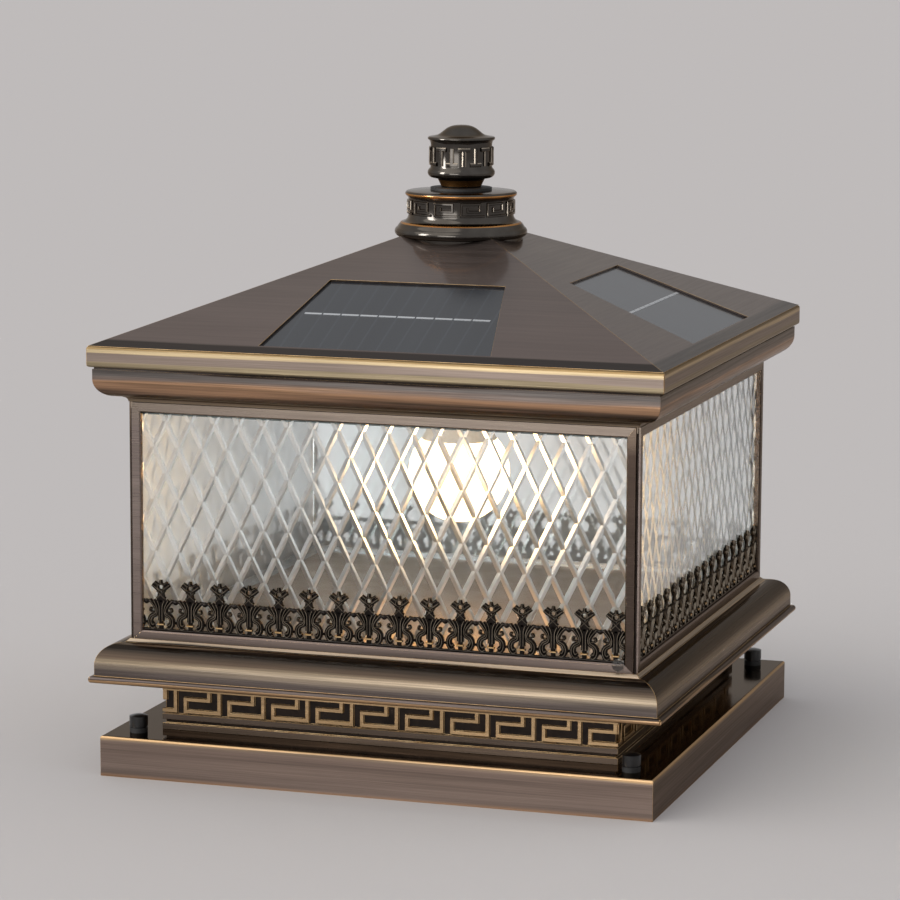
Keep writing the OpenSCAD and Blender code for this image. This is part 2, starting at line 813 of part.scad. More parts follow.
module eave_moulding() {
    inner = chamber - eave_flange;
    belly = eave - eave_r;
    belly_z = ceiling_z + eave_r;
    color(bronze) difference() {
        mitred_ring() difference() {
            union() {
                area(inner, ceiling_z, belly, reveal_z);
                area(belly, belly_z, eave, reveal_z);
                translate([belly, belly_z]) quarter(eave_r, 1, -1);
                area(chamber - eave_t, drip_z, chamber + drip_over, ceiling_z);
                area(belly, reveal_z - slice, eave - 0.7, fascia_z);
            }
            area(inner - 1, ceiling_z + eave_t, belly, reveal_z - eave_t);
            area(belly - 1, belly_z, eave - eave_t, reveal_z - eave_t);
            translate([belly, belly_z]) quarter(eave_r - eave_t, 1, -1);
            translate([chamber + drip_over + 0.4, drip_z]) circle(r = drip_r);
        }
        for (p = ceiling_screws) translate([p[0], p[1], ceiling_z - 1]) {
            cylinder(d = screw_d + 2 * screw_clear, h = eave_t + 2);
        }
    }
}

module fascia() {
    back = fascia_half - fascia_return;
    top_back = panel_low + panel_clear;
    round_x = fascia_half - fascia_r;
    color(brass_edge) mitred_ring() difference() {
        union() {
            area(back, fascia_z, round_x, roof_z);
            area(round_x, fascia_z + fascia_r, fascia_half, roof_z - fascia_r);
            translate([round_x, fascia_z + fascia_r]) quarter(fascia_r, 1, -1);
            translate([round_x, roof_z - fascia_r]) quarter(fascia_r, 1, 1);
        }
        area(back - 1, fascia_z + eave_t, fascia_half - eave_t, roof_z - eave_t);
        area(back - 1, roof_z - 2 * eave_t, top_back, roof_z + 1);
    }
}

// The section of the whole roof, or of the room under its sheet when it is drawn down
module roof_section(drop) {
    edge_z = apex_z - drop - roof_edge * roof_rise / fascia_half;
    polygon([
        [-roof_edge, roof_z - 2 * drop], [-roof_edge, edge_z], [0, apex_z - drop],
        [roof_edge, edge_z], [roof_edge, roof_z - 2 * drop]
    ]);
}

// The outline of a panel window, larger by a border
module solar_outline(border) {
    lean = (solar_low_w - solar_top_w) / 2 / solar_len;
    low = solar_low_w / 2 + border * (1 + lean);
    top = solar_top_w / 2 + border * (1 - lean);
    polygon([
        [-low, solar_start - border], [low, solar_start - border],
        [top, solar_start + solar_len + border], [-top, solar_start + solar_len + border]
    ]);
}

module roof_shell() {
    color(bronze) difference() {
        square_turn() roof_section(0);
        square_turn() roof_section(roof_drop);
        for (k = [0:3]) on_slope(k) translate([0, 0, -4 * roof_t]) {
            linear_extrude(height = 8 * roof_t) solar_outline(0);
        }
        cylinder(d = rod_d + 1, h = tall);
    }
}

module solar(k) {
    color([0.12, 0.14, 0.18]) on_slope(k) translate([0, 0, panel_top - solar_t]) {
        linear_extrude(height = solar_t) solar_outline(solar_border);
    }
}
panel_top = -roof_t - glue_t;
panel_low = fascia_half - (solar_start - solar_border) * cos(slope_angle) + panel_top * sin(slope_angle);

module solar_ribbons() {
    part = (ribbon_at - solar_start) / solar_len;
    long = solar_low_w + part * (solar_top_w - solar_low_w) - 2 * ribbon_end;
    step = long / cell_count;
    color(zinc) for (k = [0:3]) on_slope(k) for (i = [0:cell_count - 1]) {
        translate([-long / 2 + i * step + ribbon_gap / 2, ribbon_at - ribbon_w / 2, panel_top]) {
            cube([step - ribbon_gap, ribbon_w, ribbon_t]);
        }
    }
}

// Four bent cleats hold each panel up against the roof sheet
module panel_cleats() {
    below = panel_top - solar_t;
    color(zinc) for (k = [0:3], side = [0, 1], share = [0.2, 0.8]) on_slope(k) mirror([side, 0, 0]) {
        y = solar_start + solar_len * share - cleat_w / 2;
        wide = solar_low_w + (solar_top_w - solar_low_w) * share;
        x = wide / 2 + solar_border + cleat_t + cleat_clear;
        translate([x - cleat_tongue, y, below - cleat_t - glue_t]) cube([cleat_tongue, cleat_w, cleat_t]);
        translate([x - cleat_t, y, below - cleat_t - glue_t]) {
            cube([cleat_t, cleat_w, cleat_t - roof_t - below]);
        }
        translate([x - cleat_t, y, -roof_t - cleat_t - glue_t]) cube([cleat_tongue, cleat_w, cleat_t]);
    }
}

module panel_junctions() {
    low = panel_top - solar_t - junction_h;
    color(black) for (k = [0:3]) on_slope(k) {
        translate([-junction_l / 2, solar_start + (solar_len - junction_w) / 2, low]) {
            cube([junction_l, junction_w, junction_h]);
        }
    }
}

module ceiling_plate() {
    half = frame_back - ring_w - ceiling_clear;
    color([0.8, 0.8, 0.78]) difference() {
        translate([-half, -half, ceiling_under - ceiling_lip]) {
            cube([2 * half, 2 * half, ceiling_lip + ceiling_t]);
        }
        translate([-half + eave_t, -half + eave_t, ceiling_under - ceiling_lip - 1]) {
            cube([2 * half - 2 * eave_t, 2 * half - 2 * eave_t, ceiling_lip + 1]);
        }
        translate([switch_at, -switch_at, 0]) cylinder(d = button_d + 1.2, h = tall);
        for (p = ceiling_screws) translate([p[0], p[1], 0]) cylinder(d = screw_d + 2 * screw_clear, h = tall);
        translate([0, lead_y, 0]) cylinder(d = lead_d + 2 * lead_clear, h = tall);
    }
}

// Places of the screws through the ceiling plate's edge and the lamp holder's flange
ceiling_screw_at = chamber - eave_flange + 3;
holder_screw_at = (holder_r + holder_flange_r) / 2;
ceiling_screws = [
    [ceiling_screw_at, 40], [ceiling_screw_at, -40], [-ceiling_screw_at, 40], [-ceiling_screw_at, -40],
    [holder_screw_at, 0], [-holder_screw_at, 0]
];

module roof_gasket() {
    outer = chamber - eave_t - 0.7;
    color(black) mitred_ring() area(outer - gasket_w, drip_z, outer, ceiling_z);
}

module lamp_holder() {
    bore = cap_r + run_clear;
    color([0.9, 0.89, 0.85]) difference() {
        union() {
            translate([0, 0, ceiling_under - holder_h]) cylinder(r = holder_r, h = holder_h);
            translate([0, 0, ceiling_under - holder_flange_t]) cylinder(r = holder_flange_r, h = holder_flange_t);
        }
        translate([0, 0, ceiling_under - holder_h - 1]) cylinder(r = bore, h = holder_bore + 1);
        for (s = [-1, 1]) translate([s * holder_screw_at, 0, 0]) {
            cylinder(d = screw_d + 2 * screw_clear, h = tall);
        }
    }
}
holder_bore = cap_h + tip_h + 0.6;

module battery_box() {
    color(black) translate([-box_x, 0, ceiling_z]) difference() {
        translate([-box_l / 2, -box_w / 2, 0]) cube([box_l, box_w, box_h]);
        translate([-box_l / 2 + box_t, -box_w / 2 + box_t, box_t]) {
            cube([box_l - 2 * box_t, box_w - 2 * box_t, box_h]);
        }
    }
}
cell_pitch = cell_d + cell_clear;
box_l = cell_len + 2 * cell_clear + 2 * box_t;
box_w = 3 * cell_pitch + cell_clear + 2 * box_t;
box_h = cell_d + 2 * cell_clear + box_t;

module battery_lid() {
    color(black) translate([-box_x - box_l / 2, -box_w / 2, ceiling_z + box_h]) cube([box_l, box_w, box_t]);
}

module battery_cells() {
    color([0.2, 0.35, 0.6]) for (i = [-1:1]) {
        translate([-box_x - cell_len / 2, i * cell_pitch, ceiling_z + box_t + cell_clear + cell_d / 2]) {
            rotate([0, 90, 0]) cylinder(d = cell_d, h = cell_len);
        }
    }
}

module control_board() {
    color([0.1, 0.35, 0.2]) translate([board_x - board_l / 2, board_y - board_w / 2, board_z]) difference() {
        cube([board_l, board_w, pcb_t]);
        for (x = [post_inset, board_l - post_inset], y = [post_inset, board_w - post_inset]) {
            translate([x, y, -1]) cylinder(d = screw_d + 2 * screw_clear, h = pcb_t + 2);
        }
    }
}
board_z = ceiling_z + board_lift;
board_top = board_z + pcb_t;

module board_posts() {
    color(zinc) for (x = [post_inset, board_l - post_inset], y = [post_inset, board_w - post_inset]) {
        translate([board_x - board_l / 2 + x, board_y - board_w / 2 + y, ceiling_z]) {
            cylinder(d = 2 * screw_d, h = board_lift);
            cylinder(d = screw_d, h = board_lift + pcb_t + 1);
        }
    }
}

// Charge coil, chip, two capacitors and a terminal block on the board
module board_parts() {
    coil = [12, 7];
    chip = [10, 8, 1.8];
    capacitor = [8, 12];
    color([0.25, 0.25, 0.27]) translate([board_x, board_y, board_top]) {
        translate([-1.5 * coil[0], -8, 0]) cylinder(d = coil[0], h = coil[1]);
        translate([2, -chip[1] / 2, 0]) cube(chip);
        for (x = [-4, 8]) translate([x, 14, 0]) cylinder(d = capacitor[0], h = capacitor[1]);
        translate([terminal_at, terminal_low, 0]) cube([terminal_w, terminal_l, terminal_h]);
    }
}
terminal_low = -18;

// A point on a roof face's middle line: distance up the slope and away from it
function slope_point(k, up, out) = let (
    y = -fascia_half + up * cos(slope_angle) - out * sin(slope_angle),
    z = roof_z + up * sin(slope_angle) + out * cos(slope_angle)
) [-y * sin(90 * k), y * cos(90 * k), z];

// The first two points of a panel's lead, straight down from its junction box
function panel_start(k) = let (
    up = solar_start + solar_len / 2,
    low = panel_top - solar_t - junction_h
) [slope_point(k, up, low), slope_point(k, up, low - 3 * lead_d)];

// The last two points of a lead, onto the left or the right side of the terminal block
function terminal_end(side, place) = let (
    x = board_x + terminal_at + (side > 0 ? terminal_w : 0),
    y = board_y + terminal_low + place,
    z = board_top + 0.6 * terminal_h
) [[x + side * 3 * lead_d, y, z], [x, y, z]];

// The routes of the leads: four panels, battery, lamp holder and switch
lead_routes = [
    concat(panel_start(0), [[30, -70, 228], [88, -25, 225]], terminal_end(1, 4)),
    concat(panel_start(1), terminal_end(1, 10)),
    concat(panel_start(2), [[98, 62, 224]], terminal_end(1, 18)),
    concat(panel_start(3), [[-60, 10, 227], [10, 20, 227]], terminal_end(-1, 14)),
    concat([[-box_x + box_l / 2, 0, ceiling_z + box_h / 2], [-box_x + box_l / 2 + 9, 0, ceiling_z + box_h / 2],
            [10, -2, 222]], terminal_end(-1, 6)),
    concat([[0, lead_y, ceiling_under], [0, lead_y, ceiling_z + 9], [30, 12, 219]], terminal_end(-1, 10)),
    concat([[switch_at, -switch_at, ceiling_z + switch_h], [switch_at, -switch_at, ceiling_z + switch_h + 6],
            [62, -20, 219]], terminal_end(-1, 2))
];

// A route with round bends: each bend is a curve between the middles of its two stretches
function bent(p) = let (last = len(p) - 1) concat(
    [p[0]],
    [for (i = [1:last - 1], t = [0, 1 / 3, 2 / 3]) let (a = (p[i - 1] + p[i]) / 2, b = (p[i] + p[i + 1]) / 2)
        (1 - t) * (1 - t) * a + 2 * t * (1 - t) * p[i] + t * t * b],
    [(p[last - 1] + p[last]) / 2, p[last]]
);

// The way that a route runs at one of its points
function unit(v) = v / norm(v);
function heading(p, i) = unit(p[min(i + 1, len(p) - 1)] - p[max(i - 1, 0)]);

// A direction square to the route at each point, turned as little as may be from point to point
function square_ways(p, i, way) = i == len(p) ? [] : let (
    h = heading(p, i),
    w = unit(way - (way * h) * h)
) concat([w], square_ways(p, i + 1, w));

// A tube of eight sides carried along a route
module lead(route) {
    p = bent(route);
    way = square_ways(p, 0, [0.5, 0.6, 0.3]);
    last = len(p) - 1;
    n = 8;
    points = [for (i = [0:last], j = [0:n - 1]) let (turn = 360 * j / n)
        p[i] + lead_d / 2 * (cos(turn) * way[i] + sin(turn) * cross(heading(p, i), way[i]))];
    walls = [for (i = [0:last - 1], j = [0:n - 1]) let (a = n * i + j, b = n * i + (j + 1) % n)
        each [[a, a + n, b + n], [a, b + n, b]]];
    polyhedron(points, concat(walls, [[for (j = [0:n - 1]) j], [for (j = [n - 1:-1:0]) n * last + j]]));
}

module leads() {
    color([0.15, 0.12, 0.12]) for (route = lead_routes) lead(route);
}

module switch_housing() {
    bore = button_d / 2 + run_clear;
    color(black) translate([switch_at, -switch_at, ceiling_z]) difference() {
        cylinder(r = switch_r, h = switch_h);
        translate([0, 0, -1]) cylinder(r = bore, h = button_in + button_travel + 1.5);
    }
}
button_in = 4;

module power_button() {
    low = ceiling_under - button_out;
    color([0.75, 0.1, 0.08]) translate([switch_at, -switch_at, low]) {
        cylinder(d = button_d, h = ceiling_z + button_in - low);
    }
}

// Half of the collar's section, from the axis out
module collar_section() {
    band_z = flange_z + flange_h;
    disc_z = band_z + collar_band_h;
    bead_at = flange_r - flange_round - 1.25 * flange_bead;
    edge_at = disc_r - disc_round;
    area(0, flange_z - foot_drop, foot_r, flange_z);
    area(0, flange_z - flange_round, flange_r - flange_round, flange_z + flange_h / 3);
    translate([flange_r - flange_round, flange_z]) circle(r = flange_round);
    area(0, flange_z, bead_at, band_z);
    translate([bead_at, band_z - flange_bead]) circle(r = flange_bead);
    area(0, band_z, collar_r, disc_z);
    polygon([
        [0, disc_z - slice], [collar_r, disc_z - slice], [edge_at, collar_top - 2.5 * disc_round],
        [edge_at, collar_top - disc_round / 2], [knob_washer_r, collar_top], [0, collar_top]
    ]);
    translate([edge_at, collar_top - 1.5 * disc_round]) circle(r = disc_round);
}
flange_z = apex_z - flange_drop;
collar_top = flange_z + flange_h + collar_band_h + disc_h;

// Wraps a flat drawing round a band, so many times, raised by the relief
module wrap(r, count) {
    for (k = [0:count - 1]) rotate([0, 0, k * 360 / count]) intersection() {
        rotate([90, 0, 90]) linear_extrude(height = r + 5) children();
        rotate_extrude() area(r - 0.5, 0, r + relief, tall);
    }
}

// One square spiral of the collar's band, standing on the axis
module spiral_key() {
    w = spiral_bar;
    z = flange_z + flange_h + w;
    top = flange_z + flange_h + collar_band_h - w;
    half = PI * collar_r / spiral_count - spiral_gap / 2;
    right = half - 1.5 * w;
    left = -half + 2.3 * w;
    low = z + 1.9 * w;
    end = top - 1.8 * w;
    polygon([
        [-half, z], [half, z], [half, z + w], [-half + w, z + w], [-half + w, top - w],
        [right - w, top - w], [right - w, low + w], [left + w, low + w], [left + w, end],
        [left, end], [left, low], [right, low], [right, top], [-half, top]
    ]);
}

module finial_collar() {
    color(bronze) difference() {
        union() {
            rotate_extrude() collar_section();
            wrap(collar_r, spiral_count) spiral_key();
        }
        square_turn() roof_section(0);
        cylinder(d = rod_d + 2 * rod_clear, h = tall);
    }
}

module knob_washer() {
    color(black) translate([0, 0, collar_top]) difference() {
        cylinder(r = knob_washer_r, h = knob_washer_h);
        translate([0, 0, -1]) cylinder(d = rod_d + 2 * rod_clear, h = knob_washer_h + 2);
    }
}

module finial_rod() {
    low = block_z - rod_below;
    color(zinc) translate([0, 0, low]) cylinder(d = rod_d, h = knob_z + rod_in - low);
}
block_z = apex_z - block_h;
knob_z = collar_top + knob_washer_h + knob_clear;

// A cast block fills the apex under the sheet and gives the lock nut a flat seat
module apex_block() {
    color(zinc) difference() {
        intersection() {
            translate([0, 0, block_z]) cylinder(r = block_r, h = block_h);
            square_turn() roof_section(roof_drop + glue_t);
        }
        cylinder(d = rod_d + 2 * rod_clear, h = tall);
    }
}

module apex_nut() {
    color(zinc) translate([0, 0, block_z - lock_nut_h]) difference() {
        cylinder(d = lock_nut_d, h = lock_nut_h, $fn = 6);
        translate([0, 0, -1]) cylinder(d = rod_d + 2 * run_clear, h = lock_nut_h + 2);
    }
}

module roof_screws() {
    color(zinc) {
        for (i = [0:3]) translate([ceiling_screws[i][0], ceiling_screws[i][1], 0]) {
            translate([0, 0, ceiling_under - screw_head_h]) cylinder(d = screw_head_d, h = screw_head_h);
            translate([0, 0, ceiling_under - slice]) cylinder(d = screw_d, h = ceiling_t + eave_t + 2);
        }
        for (s = [-1, 1]) translate([s * holder_screw_at, 0, 0]) {
            low = ceiling_under - holder_flange_t;
            translate([0, 0, low - screw_head_h]) cylinder(d = 5, h = screw_head_h);
            translate([0, 0, low - slice]) cylinder(d = screw_d, h = holder_flange_t + ceiling_t + 2);
        }
    }
}

// Half of the knob's section, from the axis out
module knob_section() {
    bead_z = knob_z + knob_neck_h + 0.85 * knob_bead;
    rim_z = knob_band_z + knob_band_h;
    top = rim_z + rim_h;
    rim_round = 0.3 * rim_h;
    rim_at = knob_bead_r - 1.1;
    ball = (dome_r * dome_r + dome_h * dome_h) / (2 * dome_h);
    area(0, knob_z, knob_neck_r, knob_z + knob_neck_h / 2);
    polygon([
        [0, knob_z + 1], [knob_neck_r, knob_z + 0.3 * knob_neck_h],
        [knob_bead_r - 1.6 * knob_bead, knob_z + knob_neck_h], [0, knob_z + knob_neck_h]
    ]);
    area(0, bead_z - knob_bead, knob_bead_r - knob_bead, bead_z + knob_bead);
    translate([knob_bead_r - knob_bead, bead_z]) circle(r = knob_bead);
    area(0, knob_band_z - 1, knob_r, rim_z + 1);
    polygon([
        [0, rim_z], [knob_r, rim_z], [rim_at, rim_z + rim_h / 2], [rim_at, top - rim_round / 2],
        [dome_r - 0.4, top + 0.2], [0, top + 0.2]
    ]);
    translate([rim_at, rim_z + 0.62 * rim_h]) circle(r = rim_round);
    intersection() {
        translate([0, top + dome_h - ball]) circle(r = ball);
        area(0, top - 1, dome_r, top + dome_h + 1);
    }
}

knob_band_z = knob_z + knob_neck_h + 1.65 * knob_bead;

// Two interlocking T keys of the knob's band, one standing and one hanging
module tee_key() {
    w = tee_bar;
    z = knob_band_z + 0.7 * w;
    h = knob_band_h - 1.4 * w;
    half = PI * knob_r / tee_count - tee_gap / 2;
    stem = half / 2;
    area(-half, z, 0.5, z + w + 0.4);
    area(-stem - w / 2, z, -stem + w / 2, z + h - w - 1.6);
    area(-0.5, z + h - w - 0.4, half, z + h);
    area(stem - w / 2, z + w + 1.6, stem + w / 2, z + h);
}

module finial_knob() {
    color(bronze) difference() {
        union() {
            rotate_extrude() knob_section();
            wrap(knob_r, tee_count) tee_key();
        }
        translate([0, 0, knob_z - 1]) cylinder(d = rod_d + 2 * run_clear, h = rod_in + 2);
    }
}

bulb_top = ceiling_under - holder_h - bulb_clear;
globe_z = bulb_top - bulb_neck;
globe_cut = globe_z + sqrt(globe_r * globe_r - bulb_body_r * bulb_body_r);

module bulb_globe() {
    color([1, 0.95, 0.8]) rotate_extrude() intersection() {
        translate([0, globe_z]) circle(r = globe_r);
        area(0, globe_z - 2 * globe_r, 2 * globe_r, globe_cut);
    }
}

module bulb_body() {
    color([0.92, 0.92, 0.9]) rotate_extrude() {
        polygon([[0, globe_cut], [bulb_body_r, globe_cut], [bulb_cap_end, bulb_top], [0, bulb_top]]);
    }
}

module bulb_cap() {
    color(zinc) translate([0, 0, bulb_top]) {
        cylinder(r = cap_r, h = cap_h);
        translate([0, 0, cap_h - slice]) cylinder(r1 = 9, r2 = 4.5, h = tip_h + slice);
    }
}

module cap_nut(x, y) {
    low = base_h + washer_h + nut_under_clear;
    head = low + nut_collar_h;
    ball = (nut_d * nut_d / 4 + nut_dome * nut_dome) / (2 * nut_dome);
    color(black) translate([x * stud_at, y * stud_at, 0]) difference() {
        rotate_extrude() {
            area(0, low, nut_d / 2 - nut_collar_in, head + 1);
            area(0, head, nut_d / 2, head + nut_h);
            intersection() {
                translate([0, head + nut_h + nut_dome - ball]) circle(r = ball);
                area(0, head + nut_h - slice, nut_d / 2, head + nut_h + nut_dome + 1);
            }
        }
        translate([0, 0, low - 1]) cylinder(d = stud_d + 2 * run_clear, h = stud_top - low + 1 + nut_top_clear);
    }
}

mounting_plate();
fixing_studs();
base_tray();
nut_washers();
neck_boards();
neck_posts();
skirt_moulding();
floor_pan();
corner_posts();
chamber_ring();
glass_retainers();
frame(0);  // frame_front
frame(1);  // frame_right
frame(2);  // frame_back
frame(3);  // frame_left
glass(0);  // glass_front
glass(1);  // glass_right
glass(2);  // glass_back
glass(3);  // glass_left
gallery(0);  // gallery_front
gallery(1);  // gallery_right
gallery(2);  // gallery_back
gallery(3);  // gallery_left
clear_stud();
eave_moulding();
fascia();
roof_shell();
solar(0);  // solar_front
solar(1);  // solar_right
solar(2);  // solar_back
solar(3);  // solar_left
solar_ribbons();
panel_cleats();
panel_junctions();
ceiling_plate();
roof_gasket();
lamp_holder();
battery_box();
battery_lid();
battery_cells();
control_board();
board_posts();
board_parts();
leads();
switch_housing();
finial_collar();
knob_washer();
finial_rod();
apex_block();
apex_nut();
roof_screws();
finial_knob();
bulb_globe();
bulb_body();
bulb_cap();
power_button();
cap_nut(-1, -1);  // cap_nut_front_left
cap_nut(1, -1);  // cap_nut_front_right
cap_nut(1, 1);  // cap_nut_back_right
cap_nut(-1, 1);  // cap_nut_back_left
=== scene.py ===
import json
import math
from functools import partial

import bmesh
import bpy
import numpy as np
from mathutils import Matrix, Vector


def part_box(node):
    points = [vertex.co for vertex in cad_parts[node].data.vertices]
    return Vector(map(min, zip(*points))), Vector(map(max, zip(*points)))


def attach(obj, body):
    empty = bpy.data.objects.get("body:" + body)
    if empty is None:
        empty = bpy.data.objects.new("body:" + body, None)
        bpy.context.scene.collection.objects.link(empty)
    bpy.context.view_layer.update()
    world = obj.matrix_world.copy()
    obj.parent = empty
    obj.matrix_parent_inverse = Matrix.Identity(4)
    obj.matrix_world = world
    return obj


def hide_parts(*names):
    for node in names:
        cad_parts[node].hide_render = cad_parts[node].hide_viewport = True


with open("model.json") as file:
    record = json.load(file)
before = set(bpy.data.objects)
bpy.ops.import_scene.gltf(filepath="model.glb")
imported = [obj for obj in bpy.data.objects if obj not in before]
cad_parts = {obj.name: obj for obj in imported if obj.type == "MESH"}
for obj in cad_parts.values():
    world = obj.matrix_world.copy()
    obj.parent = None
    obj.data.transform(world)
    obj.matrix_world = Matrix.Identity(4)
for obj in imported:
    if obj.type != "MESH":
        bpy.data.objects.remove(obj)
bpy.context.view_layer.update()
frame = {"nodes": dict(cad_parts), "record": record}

mm = 0.001
nodes = frame["nodes"]
bodies = frame["record"]["behaviour"]["bodies"]
bodyOf = {name: body for body, members in bodies.items() for name in members}
sides = ["front", "right", "back", "left"]    # each is a quarter turn on from the one before
windowHalf = 130.9 * mm                       # half the width of the opening in a frame
print("frame loaded with", len(nodes), "nodes")


# Camera, where the photograph was taken from

photoView = {
    "azimuth": 17.75,       # degrees to the right of straight on
    "elevation": 8.9,       # degrees above the horizon
    "roll": 0.26,           # degrees
    "distance": 2.0067,     # metres from the point aimed at
    "lens": 147.04,         # mm
    "sensor": 36,           # mm across
    "aimSide": -0.0054,     # metres beside the axis
    "aimHeight": 0.1591,    # metres above the floor
    "farEnd": 100,          # metres, past the floor's edge
}


def makeCamera(view):
    azimuth = math.radians(view["azimuth"])
    elevation = math.radians(view["elevation"])
    roll = math.radians(view["roll"])
    level = Vector((math.cos(azimuth), math.sin(azimuth), 0))
    back = Vector((math.sin(azimuth) * math.cos(elevation), -math.cos(azimuth) * math.cos(elevation),
                   math.sin(elevation)))
    upright = back.cross(level)
    right = level * math.cos(roll) + upright * math.sin(roll)
    up = upright * math.cos(roll) - level * math.sin(roll)
    place = level * view["aimSide"] + Vector((0, 0, view["aimHeight"])) + back * view["distance"]
    data = bpy.data.cameras.new("photoCamera")
    data.sensor_width = view["sensor"]
    data.lens = view["lens"]
    data.clip_end = view["farEnd"]
    camera = bpy.data.objects.new("photoCamera", data)
    bpy.context.scene.collection.objects.link(camera)
    turn = Matrix((right, up, back)).transposed()
    camera.matrix_world = Matrix.Translation(place) @ turn.to_4x4()
    bpy.context.scene.camera = camera


makeCamera(photoView)
print("camera placed")


# Colours and nodes

def linear(code):
    # an sRGB hex colour as the linear red, green, blue and alpha that a socket takes
    parts = [int(code[i:i + 2], 16) / 255 for i in (1, 3, 5)]
    return [p / 12.92 if p <= 0.04045 else ((p + 0.055) / 1.055) ** 2.4 for p in parts] + [1.0]


def add(tree, kind, inputs=None, **settings):
    # a shader node with its settings, whose sockets take a value or a link
    node = tree.nodes.new("ShaderNode" + kind)
    for name, value in settings.items():
        setattr(node, name, value)
    for socket, value in (inputs or {}).items():
        if isinstance(value, bpy.types.NodeSocket):
            tree.links.new(value, node.inputs[socket])
        else:
            node.inputs[socket].default_value = value
    return node


def newMaterial(name):
    material = bpy.data.materials.new(name)
    material.use_nodes = True
    material.node_tree.nodes.clear()
    return material, material.node_tree


# Floor, world and lamps: a plain pale studio

studio = {
    "floorColour": "#c1bebe",
    "floorHalf": 30.0,          # metres
    "floorThroughGlass": "#dddbd8",
    "worldColour": "#fdfdff",
    "worldStrength": 0.73,
    "worldBehind": 0.42,        # the strength low behind the object, where a studio is darkest
    "worldTurn": (0.2, 0.98, 0.0),
    "worldFade": (0.62, 0.98),  # cosines from that direction, where the dark begins and is full
    "skyStrength": 1.2,         # watts per square metre
    "skyFrom": (-0.62, -0.72, 1.0),
    "skyAngle": 70.0,           # degrees across, which makes soft shadows
    "skyColour": "#fffaf2",
    "panelStrength": 12.0,      # watts
    "panelAzimuth": -7.0,       # degrees to the right of straight on
    "panelDistance": 2.3,       # metres
    "panelHeight": 0.42,        # metres, of its middle
    "panelWide": 1.25,
    "panelTall": 0.8,
    "stripStrength": 22.0,      # a tall light at the left, which the finial mirrors
    "stripAzimuth": -52.0,
    "stripDistance": 1.7,
    "stripHeight": 0.75,
    "stripWide": 0.45,
    "stripTall": 1.0,
    "cardColour": "#1c1a18",
    "cardNear": 0.25,           # metres beside the line of sight
    "cardFar": 0.75,
    "cardBack": 0.75,           # metres behind the axis
    "cardTall": 0.7,
}


def makeFloor(s):
    material, tree = newMaterial("studioFloor")
    throughGlass = add(tree, "LightPath").outputs["Is Transmission Ray"]
    colour = add(tree, "Mix", {
        0: throughGlass, 6: linear(s["floorColour"]), 7: linear(s["floorThroughGlass"])}, data_type="RGBA")
    shader = add(tree, "BsdfPrincipled", {"Base Color": colour.outputs[2], "Specular IOR Level": 0.0})
    add(tree, "OutputMaterial", {"Surface": shader.outputs[0]})
    half = s["floorHalf"]
    mesh = bpy.data.meshes.new("floor")
    corners = [(-half, -half, 0), (half, -half, 0), (half, half, 0), (-half, half, 0)]
    mesh.from_pydata(corners, [], [(0, 1, 2, 3)])
    mesh.materials.append(material)
    floor = bpy.data.objects.new("floor", mesh)
    bpy.context.scene.collection.objects.link(floor)


def makeWorld(s):
    # even light from all round, weaker towards the back by the cosine from that direction
    world = bpy.data.worlds.new("studio")
    world.use_nodes = True
    tree = world.node_tree
    tree.nodes.clear()
    way = add(tree, "TexCoord").outputs["Generated"]
    behind = add(tree, "VectorMath", {0: way, 1: s["worldTurn"]}, operation="DOT_PRODUCT")
    strength = add(tree, "MapRange", {
        0: behind.outputs["Value"], 1: s["worldFade"][0], 2: s["worldFade"][1],
        3: s["worldStrength"], 4: s["worldBehind"]})
    light = add(tree, "Background", {"Color": linear(s["worldColour"]), "Strength": strength.outputs[0]})
    add(tree, "OutputWorld", {"Surface": light.outputs[0]})
    bpy.context.scene.world = world


def makeSky(s):
    data = bpy.data.lights.new("skyLight", "SUN")
    data.energy = s["skyStrength"]
    data.angle = math.radians(s["skyAngle"])
    data.color = linear(s["skyColour"])[:3]
    lamp = bpy.data.objects.new("skyLight", data)
    bpy.context.scene.collection.objects.link(lamp)
    lamp.rotation_euler = Vector(s["skyFrom"]).to_track_quat("Z", "Y").to_euler()


def makePanel(s, name):
    # a bright panel that only reflections show
    data = bpy.data.lights.new(name + "Light", "AREA")
    data.shape = "RECTANGLE"
    data.size = s[name + "Wide"]
    data.size_y = s[name + "Tall"]
    data.energy = s[name + "Strength"]
    lamp = bpy.data.objects.new(name + "Light", data)
    bpy.context.scene.collection.objects.link(lamp)
    turn = math.radians(s[name + "Azimuth"])
    out = Vector((math.sin(turn), -math.cos(turn), 0))
    lamp.location = out * s[name + "Distance"] + Vector((0, 0, s[name + "Height"]))
    lamp.rotation_euler = out.to_track_quat("Z", "Y").to_euler()
    lamp.visible_camera = False
    lamp.visible_diffuse = False
    return lamp


def makeCards(s):
    # two dark cards behind, one at each side, which only show through the glass and draw its cuts
    material, tree = newMaterial("studioCard")
    shader = add(tree, "BsdfDiffuse", {"Color": linear(s["cardColour"])})
    add(tree, "OutputMaterial", {"Surface": shader.outputs[0]})
    azimuth = math.radians(photoView["azimuth"])
    level = Vector((math.cos(azimuth), math.sin(azimuth), 0))
    away = Vector((-math.sin(azimuth), math.cos(azimuth), 0))
    up = Vector((0, 0, s["cardTall"]))
    for way in (-1, 1):
        near = away * s["cardBack"] + level * way * s["cardNear"]
        far = away * s["cardBack"] + level * way * s["cardFar"]
        mesh = bpy.data.meshes.new("card")
        mesh.from_pydata([near, far, far + up, near + up], [], [(0, 1, 2, 3)])
        mesh.materials.append(material)
        card = bpy.data.objects.new("card", mesh)
        bpy.context.scene.collection.objects.link(card)
        card.visible_camera = False
        card.visible_diffuse = False
        card.visible_glossy = False
        card.visible_shadow = False


